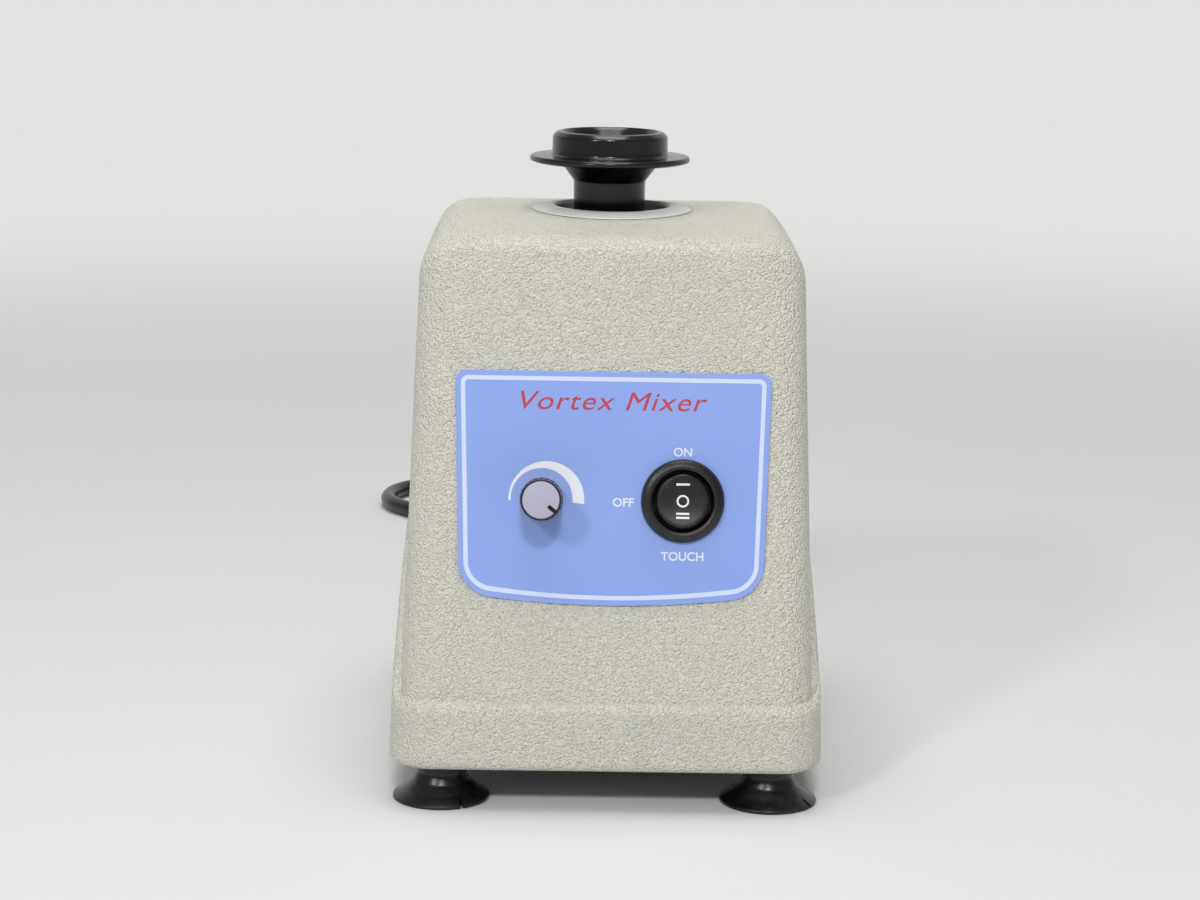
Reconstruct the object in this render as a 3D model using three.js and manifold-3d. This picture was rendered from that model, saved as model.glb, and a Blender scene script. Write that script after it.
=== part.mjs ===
// Vortex mixer: a bench device that shakes a test tube. A motor turns an eccentric hub, the hub carries a
// head in a small circle, and the rubber cup on the head does the shaking. Millimetres, +Z up, front
// towards -Y, origin on the bench under the middle of the housing. The motor axis is the Z axis.
import * as THREE from 'three';
import { LoftGeometry } from 'three/addons/geometries/LoftGeometry.js';
import { mergeVertices } from 'three/addons/utils/BufferGeometryUtils.js';
import Module from 'manifold-3d';

const wasm = await Module();
wasm.setup();

// ---- driving dimensions ----------------------------------------------------------------------------
const DEG = Math.PI / 180;
const GAP = 0.3; // clearance between pieces that touch
const RUN = 0.3; // running clearance round shafts, pins and bearings

const FRONT_REACH = 79; // motor axis to the front of the plinth
const REAR_REACH = 81.5; // motor axis to its rear
const PLINTH_HALF = 59.6; // half width of the plinth at the ledge
const BASE_Z = 12.2; // lower edge of the housing above the bench
const LEDGE_Z = 32; // top of the ledge at the front
const STEP = 2.5; // how far the plinth and skirt stand proud of the column
const BASE_ROUND = 2; // rounding of the lower edge
const TOP_Z = 158.6; // crown of the top
const WALL = 3.2;
const FRONT_LEAN = 11 * DEG; // the front panel leans back
const REAR_LEAN = 8 * DEG;
const SIDE_DRAFT = 0.03; // the sides draw in, mm for each mm of height
const EDGE_R = 10; // vertical front edges of the column
const REAR_EDGE_R = 14;
const FRONT_TOP_R = 8;
const SIDE_TOP_R = 18;
const REAR_TOP_R = 18;
const CROWN_R = 500; // the top is a shallow arch from front to rear
const SKIRT_START = 13; // where the side skirt leaves the ledge, behind the plinth front
const SKIRT_BEND = 45; // where its curve aims
const SKIRT_FLAT = 95; // where it has become level
const SKIRT_TOP = 77; // height of the skirt at the sides and rear

const CONTROL_UP = 54.8; // knob and switch centres, up the panel from the ledge
const KNOB_X = -18.7;
const SWITCH_X = 20;
const LABEL_X = 0.65;
const LABEL_HALF_TOP = 43.5;
const LABEL_HALF_LOW = 41.8;
const LABEL_LOW = 29; // lower corners of the label, up the panel
const LABEL_HIGH = 90;
const LABEL_BOW = 3.2; // its lower edge bows down in the middle
const LABEL_T = 0.4;

const ORBIT_R = 2; // crank radius of the head's circle
const ORBIT_REST = 114 * DEG; // where the crank stands at rest
const HOLE_R = 16.7; // hole in the collar that the cup's neck passes through
const COLLAR_R = 23.3;
const CUP_TOP = TOP_Z + 22.7;
const CUP_R = 16.9;
const CUP_FLANGE_R = 23.4;
const CUP_FLANGE_Z = TOP_Z + 13.7; // underside of the flange's edge
const CUP_FLANGE_T = 2;
const CUP_NECK_R = 10.3;
const CUP_BOTTOM = TOP_Z - 7.1; // the sleeve reaches down into the housing
const STEM_R = 6; // the head's stem inside the cup

const FOOT_X = 45.8;
const FOOT_Y = 64.6;
const FOOT_R = 13.6;
const SCREW_R = 2;

const POST_X = 41; // guide posts of the motor carriage
const POST_Y = 32;
const POST_R = 4;
const POST_PIN_R = 2.4;
const SPRING_LOW = 88; // the springs stand on the posts' shoulders
const PLATE_LOW = 104; // underside of the carriage plate
const PLATE_T = 3;
const MOTOR_R = 36;
const MOTOR_LOW = 53; // lowest point of the motor
const SHAFT_R = 4;
const TRAVEL = 1.5; // how far the head goes down to start the motor in touch mode

const CORD_R = 3.1;
const COIL_R = 33; // middle of the coiled turns
const COIL_X = 10;
const COIL_Y = 190;
const COIL_HALF = 4 * CORD_R + 0.5; // half the width of the wound turns, four side by side
const COIL_H = 4 * CORD_R + 0.2; // two layers
const EXIT_X = -34; // strain relief in the rear wall
const EXIT_Z = 44;

// ---- materials -------------------------------------------------------------------------------------
const finish = (color, roughness, metalness = 0) =>
  new THREE.MeshStandardMaterial({ color, roughness, metalness });
const paint = () => finish(0xcdccbd, 0.55);
const collarGrey = () => finish(0xd4d5d0, 0.35);
const labelBlue = () => finish(0x8fa5e6, 0.5);
const blackPlastic = () => finish(0x17181a, 0.4);
const rubber = () => finish(0x0e0e10, 0.45);
const lilac = () => finish(0xb0aebf, 0.4);
const steel = () => finish(0xb4b6b8, 0.35, 1);
const darkSteel = () => finish(0x595b5e, 0.45, 1);
const brass = () => finish(0xc9a24c, 0.35, 1);
const nylon = () => finish(0xe6e2d4, 0.55);
const boardGreen = () => finish(0x1f5a34, 0.5);
const aluminium = () => finish(0xc3c6c9, 0.3, 1);

// ---- solids ----------------------------------------------------------------------------------------
const assembly = new THREE.Group();

/** Positions only, shared corners merged, faces without area dropped and all faces pointing out. */
function tidy(geometry) {
  const bare = geometry.clone();
  bare.deleteAttribute('normal');
  bare.deleteAttribute('uv');
  const merged = mergeVertices(bare, 1e-4);
  const corners = merged.getIndex().array;
  const at = (i) => new THREE.Vector3().fromBufferAttribute(merged.getAttribute('position'), i);
  const kept = [];
  let volume = 0;
  for (let i = 0; i < corners.length; i += 3) {
    const [a, b, c] = corners.slice(i, i + 3);
    if (a === b || b === c || c === a) continue;
    kept.push([a, b, c]);
    volume += at(a).dot(at(b).cross(at(c)));
  }
  merged.setIndex(kept.flatMap(([a, b, c]) => (volume < 0 ? [a, c, b] : [a, b, c])));
  return merged;
}

function toSolid(geometry) {
  const closed = tidy(geometry);
  const mesh = new wasm.Mesh({
    numProp: 3,
    vertProperties: new Float32Array(closed.getAttribute('position').array),
    triVerts: new Uint32Array(closed.getIndex().array),
  });
  return new wasm.Manifold(mesh);
}

function toGeometry(solid) {
  const mesh = solid.getMesh();
  const geometry = new THREE.BufferGeometry();
  geometry.setAttribute('position', new THREE.Float32BufferAttribute(mesh.vertProperties, 3));
  geometry.setIndex(Array.from(mesh.triVerts));
  return geometry;
}

const join = (...all) => toGeometry(all.map(toSolid).reduce((a, b) => a.add(b)));
const cut = (base, ...tools) =>
  toGeometry(tools.map(toSolid).reduce((a, b) => a.subtract(b), toSolid(base)));
const common = (a, b) => toGeometry(toSolid(a).intersect(toSolid(b)));

/** A profile of [radius, height] pairs turned about +Z. It starts and ends on the axis or closes. */
function turned(profile, sides = 24) {
  const points = profile.map(([r, z]) => new THREE.Vector2(r, z));
  return new THREE.LatheGeometry(points, sides).rotateX(Math.PI / 2);
}

const rod = (r, low, high, sides = 20) => turned([[0, low], [r, low], [r, high], [0, high]], sides);
const ring = (inner, outer, low, high, sides = 28) =>
  turned([[inner, low], [outer, low], [outer, high], [inner, high], [inner, low]], sides);
const block = (x0, x1, y0, y1, z0, z1) =>
  new THREE.BoxGeometry(x1 - x0, y1 - y0, z1 - z0).translate((x0 + x1) / 2, (y0 + y1) / 2, (z0 + z1) / 2);
const moved = (geometry, x, y, z) => geometry.clone().translate(x, y, z);

function roundedRectangle(halfX, halfY, r) {
  const shape = new THREE.Shape();
  shape.moveTo(-halfX + r, -halfY);
  shape.lineTo(halfX - r, -halfY);
  shape.absarc(halfX - r, -halfY + r, r, -Math.PI / 2, 0);
  shape.absarc(halfX - r, halfY - r, r, 0, Math.PI / 2);
  shape.absarc(-halfX + r, halfY - r, r, Math.PI / 2, Math.PI);
  shape.absarc(-halfX + r, -halfY + r, r, Math.PI, 1.5 * Math.PI);
  return shape;
}

const slab = (shape, low, high, curveSegments = 5) =>
  new THREE.ExtrudeGeometry(shape, { depth: high - low, bevelEnabled: false, curveSegments })
    .translate(0, 0, low);

function tube(curve, r, steps, sides) {
  const section = new THREE.Shape();
  for (let i = 0; i < sides; i++) {
    const a = (i / sides) * 2 * Math.PI;
    if (i === 0) section.moveTo(r * Math.cos(a), r * Math.sin(a));
    else section.lineTo(r * Math.cos(a), r * Math.sin(a));
  }
  return new THREE.ExtrudeGeometry(section, { steps, extrudePath: curve, bevelEnabled: false });
}

function add(parent, name, geometry, material) {
  const mesh = new THREE.Mesh(tidy(geometry), material);
  mesh.name = name;
  parent.add(mesh);
  return mesh;
}

/** The four corners (x, y) of a rectangle, with a name for each. */
const corners = (x, y) => [
  ['front_left', -x, -y],
  ['front_right', x, -y],
  ['rear_left', -x, y],
  ['rear_right', x, y],
];

// ---- housing ---------------------------------------------------------------------------------------
const above = (z) => Math.max(0, z - LEDGE_Z);
const columnHalf = (z) => PLINTH_HALF - STEP - SIDE_DRAFT * (z - LEDGE_Z);
const columnFront = (z) => STEP - FRONT_REACH + above(z) * Math.tan(FRONT_LEAN);
const columnRear = (z) => REAR_REACH - STEP - above(z) * Math.tan(REAR_LEAN);
const crownDrop = (y) => (y * y) / (2 * CROWN_R);

const CORNER_STEPS = 5;
const SIDE_STEPS = 9;
const STRAIGHT_STEPS = 3;

/** One closed outline round the housing, counterclockwise from above, from the middle of the front. */
function outline({ half, front, rear, frontR, rearR }) {
  const right = [];
  const arc = (x, y, r, from) => {
    for (let i = 0; i <= CORNER_STEPS; i++) {
      const a = (from + (90 * i) / CORNER_STEPS) * DEG;
      right.push([x + r * Math.cos(a), y + r * Math.sin(a)]);
    }
  };
  for (let i = 0; i < STRAIGHT_STEPS; i++) right.push([((half - frontR) * i) / STRAIGHT_STEPS, front]);
  arc(half - frontR, front + frontR, frontR, -90);
  for (let i = 1; i < SIDE_STEPS; i++) {
    const share = (i / SIDE_STEPS) ** 1.5;
    right.push([half, front + frontR + (rear - rearR - front - frontR) * share]);
  }
  arc(half - rearR, rear - rearR, rearR, 0);
  for (let i = STRAIGHT_STEPS - 1; i >= 0; i--) right.push([((half - rearR) * i) / STRAIGHT_STEPS, rear]);
  const left = right.slice(1, -1).reverse().map(([x, y]) => [-x, y]);
  return [...right, ...left];
}

const columnOutline = (z, grow) => outline({
  half: columnHalf(z) + grow,
  front: columnFront(z) - grow,
  rear: columnRear(z) + grow,
  frontR: Math.max(EDGE_R + grow, 2),
  rearR: Math.max(REAR_EDGE_R + grow, 2),
});
const RING = columnOutline(BASE_Z, 0).length;

/** Height of the top of the plinth and skirt at a distance behind the plinth front. */
function skirtHeight(back) {
  if (back <= SKIRT_START) return LEDGE_Z;
  if (back >= SKIRT_FLAT) return SKIRT_TOP;
  const a = SKIRT_START - 2 * SKIRT_BEND + SKIRT_FLAT;
  const b = 2 * (SKIRT_BEND - SKIRT_START);
  const c = SKIRT_START - back;
  const t = (-b + Math.sqrt(b * b - 4 * a * c)) / (2 * a);
  return LEDGE_Z * (1 - t) ** 2 + 2 * (SKIRT_TOP - 1) * t * (1 - t) + SKIRT_TOP * t ** 2;
}

/** The height of the skirt's edge at one point of the outline. */
function skirtEdge(k) {
  let z = LEDGE_Z;
  for (let i = 0; i < 6; i++) z = skirtHeight(columnOutline(z, 0)[k][1] + FRONT_REACH);
  return z;
}

const skirt = Array.from({ length: RING }, (_, k) => skirtEdge(k));

/** A row of the housing's surface: height(k) and grow are given, the outline follows. */
const row = (height, grow) => Array.from({ length: RING }, (_, k) => {
  const z = height(k);
  const [x, y] = columnOutline(z, grow)[k];
  return new THREE.Vector3(x, y, z);
});

/** One row of the rounded shoulder, turned by share of a quarter, the wall's thickness further in. */
function shoulder(share, inward) {
  const lean = [FRONT_LEAN, Math.atan(SIDE_DRAFT), REAR_LEAN];
  const radius = [FRONT_TOP_R, SIDE_TOP_R, REAR_TOP_R];
  const part = lean.map((l, i) => {
    const r = radius[i];
    const turn = l + (Math.PI / 2 - l) * share;
    const startZ = TOP_Z - r + r * Math.sin(l);
    const inset = r * (Math.cos(l) - Math.cos(turn)) + inward * Math.cos(turn);
    return { startZ, inset, z: TOP_Z - r + r * Math.sin(turn) - inward * Math.sin(turn) };
  });
  const points = outline({
    half: columnHalf(part[1].startZ) - part[1].inset,
    front: columnFront(part[0].startZ) + part[0].inset,
    rear: columnRear(part[2].startZ) - part[2].inset,
    frontR: EDGE_R - inward,
    rearR: REAR_EDGE_R - inward,
  });
  const straight = STRAIGHT_STEPS;
  const sideStart = straight + CORNER_STEPS;
  const sideEnd = sideStart + SIDE_STEPS;
  return points.map(([x, y], k) => {
    const j = k < RING / 2 ? k : RING - k;
    let z = part[1].z;
    const ease = (t) => t * t * (3 - 2 * t);
    if (j < sideStart) {
      const t = ease(Math.max(0, j - straight) / CORNER_STEPS);
      z = part[0].z * (1 - t) + part[1].z * t;
    } else if (j > sideEnd) {
      const t = ease(Math.min(1, (j - sideEnd) / CORNER_STEPS));
      z = part[1].z * (1 - t) + part[2].z * t;
    }
    return new THREE.Vector3(x, y, z - crownDrop(y) * share);
  });
}

/** Rows from the shoulder's last row to the round hole for the collar. */
function towardsHole(edge, share, r) {
  return edge.map((p) => {
    const a = Math.atan2(p.y, p.x);
    const x = p.x + (r * Math.cos(a) - p.x) * share;
    const y = p.y + (r * Math.sin(a) - p.y) * share;
    return new THREE.Vector3(x, y, p.z + crownDrop(p.y) - crownDrop(y));
  });
}

const COLLAR_SEAT_R = HOLE_R + 1.8;

function housing() {
  const rows = [];
  rows.push(row(() => BASE_Z, STEP - BASE_ROUND * 0.7));
  rows.push(row(() => BASE_Z + BASE_ROUND, STEP));
  rows.push(row((k) => skirt[k] - STEP, STEP));
  rows.push(row((k) => skirt[k] - STEP * 0.3, STEP * 0.7));
  rows.push(row((k) => skirt[k], 0));
  const shoulderStart = shoulder(0, 0);
  for (const share of [0.5]) {
    rows.push(row((k) => skirt[k] + (shoulderStart[k].z - skirt[k]) * share, 0));
  }
  for (const share of [0, 0.3, 0.6, 0.85, 1]) rows.push(shoulder(share, 0));
  const outerEdge = rows[rows.length - 1];
  for (const share of [0.6, 1]) rows.push(towardsHole(outerEdge, share, COLLAR_SEAT_R));
  const innerEdge = shoulder(1, WALL);
  rows.push(towardsHole(innerEdge, 1, COLLAR_SEAT_R));
  for (const share of [1, 0.5, 0]) rows.push(shoulder(share, WALL));
  rows.push(row(() => LEDGE_Z, -WALL));
  rows.push(row(() => BASE_Z, -WALL));
  rows.push(rows[0]);
  return new THREE.BufferGeometry().copy(new LoftGeometry(rows));
}

// Frame of the leaning front panel: x to the right, y up the panel from the ledge, z out of the panel.
const panel = new THREE.Group();
panel.position.set(0, columnFront(LEDGE_Z), LEDGE_Z);
panel.rotation.x = Math.PI / 2 - FRONT_LEAN;
panel.updateMatrix();
assembly.add(panel);
const onPanel = (geometry, x, y) => geometry.clone().translate(x, y, 0).applyMatrix4(panel.matrix);

// Frame of the cord's exit: z out of the leaning rear wall.
const exit = new THREE.Group();
const exitRear = columnRear(EXIT_Z) + STEP;
exit.position.set(EXIT_X, exitRear, EXIT_Z);
exit.rotation.x = -Math.PI / 2 + REAR_LEAN;
exit.updateMatrix();
assembly.add(exit);

const BUSHING_R = 3.6; // potentiometer's threaded neck
const BARREL_R = 9.8; // rocker switch's round body
const RELIEF_R = 6; // strain relief where it passes the rear wall
const BOSS_HALF = 6.5;
const BOSS_TOP = 34;
const BOSS_BITE = 1.2; // how far a screw boss runs into the walls of its corner
const PLATE_Z = BASE_Z + GAP; // underside of the base plate
const BASE_T = 2;
const FLOOR_Z = PLATE_Z + BASE_T; // top of the base plate

function housingWithOpenings() {
  const bosses = corners(FOOT_X, FOOT_Y).map(([, x, y]) => {
    const wallX = Math.sign(x) * (columnHalf(BOSS_TOP) - WALL + BOSS_BITE);
    const wallY = y < 0 ? columnFront(BOSS_TOP) + WALL - BOSS_BITE : columnRear(BOSS_TOP) - WALL + BOSS_BITE;
    const innerX = x - Math.sign(x) * BOSS_HALF;
    const innerY = y - Math.sign(y) * BOSS_HALF;
    return block(Math.min(wallX, innerX), Math.max(wallX, innerX), Math.min(wallY, innerY),
      Math.max(wallY, innerY), FLOOR_Z + GAP, BOSS_TOP);
  });
  const shell = join(housing(), ...bosses);
  const screwHoles = corners(FOOT_X, FOOT_Y).map(([, x, y]) =>
    moved(rod(SCREW_R + RUN, FLOOR_Z - 1, BOSS_TOP - 3, 10), x, y, 0));
  return cut(
    shell,
    ...screwHoles,
    onPanel(rod(BUSHING_R + GAP, -WALL * 2, WALL, 20), KNOB_X, CONTROL_UP),
    onPanel(rod(BARREL_R + GAP, -WALL * 2, WALL, 32), SWITCH_X, CONTROL_UP),
    rod(RELIEF_R + GAP, -3 * WALL, WALL, 20).applyMatrix4(exit.matrix),
  );
}

add(assembly, 'housing', housingWithOpenings(), paint());

// ---- collar round the neck of the cup --------------------------------------------------------------
const COLLAR_TOP = TOP_Z + 1.5;
const COLLAR_LIP = 6; // depth of the sleeve that hangs in the housing's hole

add(assembly, 'top_collar', turned([
  [HOLE_R, TOP_Z - COLLAR_LIP],
  [COLLAR_SEAT_R - GAP, TOP_Z - COLLAR_LIP],
  [COLLAR_SEAT_R - GAP, TOP_Z + GAP],
  [COLLAR_R, TOP_Z + GAP],
  [COLLAR_R - 0.7, TOP_Z + 0.9],
  [HOLE_R + 1.6, COLLAR_TOP],
  [HOLE_R + 0.4, COLLAR_TOP - 0.3],
  [HOLE_R, COLLAR_TOP - 1],
  [HOLE_R, TOP_Z - COLLAR_LIP],
], 32), collarGrey());

// ---- label on the front panel ----------------------------------------------------------------------
const LABEL_BACK = GAP;
const LABEL_FACE = LABEL_BACK + LABEL_T;

function labelShape() {
  const [top, low, high, foot] = [LABEL_HALF_TOP, LABEL_HALF_LOW, LABEL_HIGH, LABEL_LOW];
  const topR = 1.6;
  const lowR = 8;
  const shape = new THREE.Shape();
  shape.moveTo(LABEL_X - top + topR, high);
  shape.quadraticCurveTo(LABEL_X - top, high, LABEL_X - top, high - topR);
  shape.lineTo(LABEL_X - low, foot + lowR);
  shape.quadraticCurveTo(LABEL_X - low, foot, LABEL_X - low + lowR, foot - 0.9);
  shape.quadraticCurveTo(LABEL_X, foot - 2 * LABEL_BOW + 0.9, LABEL_X + low - lowR, foot - 0.9);
  shape.quadraticCurveTo(LABEL_X + low, foot, LABEL_X + low, foot + lowR);
  shape.lineTo(LABEL_X + top, high - topR);
  shape.quadraticCurveTo(LABEL_X + top, high, LABEL_X + top - topR, high);
  shape.closePath();
  for (const [x, r] of [[KNOB_X, BUSHING_R + 2 * GAP], [SWITCH_X, BARREL_R + 2 * GAP]]) {
    const hole = new THREE.Path();
    hole.absarc(x, CONTROL_UP, r, 0, 2 * Math.PI, true);
    shape.holes.push(hole);
  }
  return shape;
}

add(panel, 'control_label', slab(labelShape(), LABEL_BACK, LABEL_FACE, 8), labelBlue());

// ---- three-position rocker switch ------------------------------------------------------------------
const BEZEL_R = BARREL_R + 1.7;
const WELL_R = BARREL_R - 1.3;
const ROCKER_R = WELL_R - 1.3;
const BEZEL_BACK = LABEL_FACE + GAP;
const BEZEL_TOP = BEZEL_BACK + 2.3;
const WELL_FLOOR = -6;
const BARREL_LOW = -19;
const TERMINAL = { half: 3.2, t: 0.8, length: 7, pitch: 5 };

const switchShell = turned([
  [0, BARREL_LOW], [BARREL_R, BARREL_LOW], [BARREL_R, BEZEL_BACK], [BEZEL_R - 0.3, BEZEL_BACK],
  [BEZEL_R, BEZEL_BACK + 0.5], [BEZEL_R - 0.9, BEZEL_BACK + 1.5], [BEZEL_R - 1.9, BEZEL_TOP - 0.2],
  [WELL_R + 0.6, BEZEL_TOP], [WELL_R, BEZEL_TOP - 0.5], [WELL_R, WELL_FLOOR], [0, WELL_FLOOR],
], 32);
const terminals = [-1, 0, 1].map((i) => block(
  -TERMINAL.half, TERMINAL.half, i * TERMINAL.pitch - TERMINAL.t / 2, i * TERMINAL.pitch + TERMINAL.t / 2,
  BARREL_LOW - TERMINAL.length, BARREL_LOW + 1,
));
const switchGroup = new THREE.Group();
switchGroup.position.set(SWITCH_X, CONTROL_UP, 0);
panel.add(switchGroup);
add(switchGroup, 'switch_body', join(switchShell, ...terminals), blackPlastic());

const ROCKER_END = BEZEL_TOP + 0.7; // height of the rocker's two ends
const ROCKER_DISH = 1.1; // how much lower its middle is
const PIVOT_R = 1.2;

function rockerSolid() {
  const side = new THREE.Shape();
  side.moveTo(-ROCKER_R - 1, -3);
  side.lineTo(ROCKER_R + 1, -3);
  const steps = 10;
  for (let i = 0; i <= steps; i++) {
    const y = (ROCKER_R + 1) * (1 - (2 * i) / steps);
    side.lineTo(y, ROCKER_END - ROCKER_DISH * (1 - (y / ROCKER_R) ** 2));
  }
  side.closePath();
  const bar = slab(side, -ROCKER_R - 1, ROCKER_R + 1)
    .applyMatrix4(new THREE.Matrix4().makeBasis(
      new THREE.Vector3(0, 1, 0), new THREE.Vector3(0, 0, 1), new THREE.Vector3(1, 0, 0)));
  const round = turned([[0, -4], [ROCKER_R - 1.4, -4], [ROCKER_R, 1], [ROCKER_R, 8], [0, 8]], 32);
  const pivot = rod(PIVOT_R, -(WELL_R - GAP), WELL_R - GAP, 10).rotateY(Math.PI / 2);
  return join(common(bar, round), pivot);
}

add(switchGroup, 'rocker', rockerSolid(), blackPlastic());

// ---- speed control: potentiometer, nut, shaft, knob ------------------------------------------------
const POT_R = 8;
const NUT_T = 2;
const NUT_LOW = LABEL_FACE + GAP;
const NECK_TOP = NUT_LOW + NUT_T + 0.4;
const KNOB_LOW = NECK_TOP + GAP + 0.2;
const KNOB_TOP = 15.4;
const KNOB_R = 5.9;
const KNOB_TOP_R = 5.45;
const CAP_R = 4.85;
const POT_SHAFT_R = 3;
const knobGroup = new THREE.Group();
knobGroup.position.set(KNOB_X, CONTROL_UP, 0);
panel.add(knobGroup);
const panelBack = -WALL - GAP;
add(knobGroup, 'pot_body', turned([
  [0, panelBack - 9], [POT_R, panelBack - 9], [POT_R, panelBack], [BUSHING_R, panelBack],
  [BUSHING_R, NECK_TOP], [POT_SHAFT_R + RUN, NECK_TOP], [POT_SHAFT_R + RUN, panelBack - 6],
  [0, panelBack - 6],
], 20), darkSteel());
const nutR = 5.8;
add(knobGroup, 'pot_nut', cut(rod(nutR, NUT_LOW, NUT_LOW + NUT_T, 6),
  rod(BUSHING_R + GAP, NUT_LOW - 1, NUT_LOW + NUT_T + 1, 16)), brass());
add(knobGroup, 'pot_shaft', rod(POT_SHAFT_R, panelBack - 6 + GAP, KNOB_TOP - 4, 16), steel());
add(knobGroup, 'knob', turned([
  [0, KNOB_TOP - 4 + GAP], [POT_SHAFT_R + RUN, KNOB_TOP - 4 + GAP], [POT_SHAFT_R + RUN, KNOB_LOW],
  [KNOB_R, KNOB_LOW], [KNOB_TOP_R, KNOB_TOP - 0.4], [KNOB_TOP_R - 0.4, KNOB_TOP],
  [CAP_R + GAP, KNOB_TOP], [CAP_R + GAP, KNOB_TOP - 1], [0, KNOB_TOP - 1],
], 28), blackPlastic());
const pointerSlot = block(1.6, CAP_R + 1, -0.8, 0.8, KNOB_TOP - 2, KNOB_TOP + 2).rotateZ(-39 * DEG);
add(knobGroup, 'knob_cap', cut(rod(CAP_R, KNOB_TOP - 1 + GAP, KNOB_TOP + 0.2, 28), pointerSlot), lilac());

// ---- base plate, feet and their screws -------------------------------------------------------------
const SPIGOT_R = 2.4; // lower end of each guide post, riveted in the plate
const VENT = { half: 15, width: 2.4, pitch: 8, rows: 5 };

function basePlate() {
  const edge = columnOutline(FLOOR_Z, -WALL - GAP).map(([x, y]) => new THREE.Vector2(x, y));
  const shape = new THREE.Shape(edge);
  const hole = (x, y, r) => {
    const path = new THREE.Path();
    path.absarc(x, y, r, 0, 2 * Math.PI, true);
    shape.holes.push(path);
  };
  for (const [, x, y] of corners(FOOT_X, FOOT_Y)) hole(x, y, SCREW_R + RUN);
  for (const [, x, y] of corners(POST_X, POST_Y)) hole(x, y, SPIGOT_R + GAP);
  for (let i = 0; i < VENT.rows; i++) {
    const y = (i - (VENT.rows - 1) / 2) * VENT.pitch;
    const slot = new THREE.Path();
    slot.moveTo(-VENT.half, y - VENT.width / 2);
    slot.lineTo(-VENT.half, y + VENT.width / 2);
    slot.lineTo(VENT.half, y + VENT.width / 2);
    slot.lineTo(VENT.half, y - VENT.width / 2);
    slot.closePath();
    shape.holes.push(slot);
  }
  return slab(shape, PLATE_Z, FLOOR_Z, 6);
}

add(assembly, 'base_plate', basePlate(), darkSteel());

const FOOT_TOP = PLATE_Z - GAP;
const HEAD_Z = 5.2; // underside of the foot screws' heads
const footProfile = [
  [FOOT_R - 2, 0], [FOOT_R, 0], [FOOT_R, 1], [10.4, 3.2], [7.8, 5.4], [6.6, 8], [7.4, 11], [7.4, FOOT_TOP],
  [SCREW_R + RUN, FOOT_TOP], [SCREW_R + RUN, HEAD_Z + 2.2 + GAP], [4.2, HEAD_Z + 2.2 + GAP], [4.2, 3],
  [FOOT_R - 4, 2], [FOOT_R - 2, 0],
];
const screwProfile = [
  [0, HEAD_Z], [3.2, HEAD_Z], [3.8, HEAD_Z + 0.8], [3.8, HEAD_Z + 2.2], [SCREW_R, HEAD_Z + 2.2],
  [SCREW_R, BOSS_TOP - 6], [0, BOSS_TOP - 6],
];
for (const [place, x, y] of corners(FOOT_X, FOOT_Y)) {
  add(assembly, `foot_${place}`, moved(turned(footProfile, 14), x, y, 0), rubber());
  add(assembly, `foot_screw_${place}`, moved(turned(screwProfile, 10), x, y, 0), steel());
}

// ---- guide posts and return springs ----------------------------------------------------------------
const POST_TOP = PLATE_LOW + PLATE_T + TRAVEL + 3;
const SPRING_HIGH = PLATE_LOW - GAP;
const WIRE_R = 0.6;
const SPRING_TURNS = 4;

class Helix extends THREE.Curve {
  constructor(radius, low, high, turns) {
    super();
    Object.assign(this, { radius, low, high, turns });
  }

  getPoint(t, target = new THREE.Vector3()) {
    const a = t * this.turns * 2 * Math.PI;
    return target.set(
      this.radius * Math.cos(a), this.radius * Math.sin(a), this.low + (this.high - this.low) * t);
  }
}

for (const [place, x, y] of corners(POST_X, POST_Y)) {
  add(assembly, `guide_post_${place}`, moved(turned([
    [0, PLATE_Z + 0.2], [SPIGOT_R, PLATE_Z + 0.2], [SPIGOT_R, FLOOR_Z + GAP], [POST_R, FLOOR_Z + GAP],
    [POST_R, SPRING_LOW], [POST_PIN_R, SPRING_LOW], [POST_PIN_R, POST_TOP], [0, POST_TOP],
  ], 12), x, y, 0), steel());
  const spring = new Helix(
    POST_PIN_R + GAP + 2 * WIRE_R, SPRING_LOW + GAP + WIRE_R, SPRING_HIGH - WIRE_R, SPRING_TURNS);
  add(assembly, `return_spring_${place}`, moved(tube(spring, WIRE_R, SPRING_TURNS * 8, 4), x, y, 0),
    steel());
}

// ---- motor carriage --------------------------------------------------------------------------------
const PLATE_HIGH = PLATE_LOW + PLATE_T;
const CARRIAGE_X = POST_X + 7;
const CARRIAGE_Y = POST_Y + 7;
const shaftHoleR = 14;

function carriagePlate() {
  const shape = roundedRectangle(CARRIAGE_X, CARRIAGE_Y, 6);
  for (const [, x, y] of [['centre', 0, 0], ...corners(POST_X, POST_Y)]) {
    const hole = new THREE.Path();
    hole.absarc(x, y, x === 0 ? shaftHoleR : POST_PIN_R + RUN, 0, 2 * Math.PI, true);
    shape.holes.push(hole);
  }
  return slab(shape, PLATE_LOW, PLATE_HIGH, 4);
}

add(assembly, 'carriage_plate', carriagePlate(), darkSteel());

const CAN_LOW = MOTOR_LOW + 9;
const CAN_HIGH = PLATE_LOW - GAP - 9;
const CORE_R = 21; // the rotor's iron core
const BEARING_R = 11; // both motor bearings and the head's bearing
const BEARING_T = 7;
const upperBearing = PLATE_LOW - GAP - BEARING_T;
const lowerBearing = MOTOR_LOW + 1.5;
const seatR = BEARING_R + RUN;
const boreR = SHAFT_R + 2;

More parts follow.
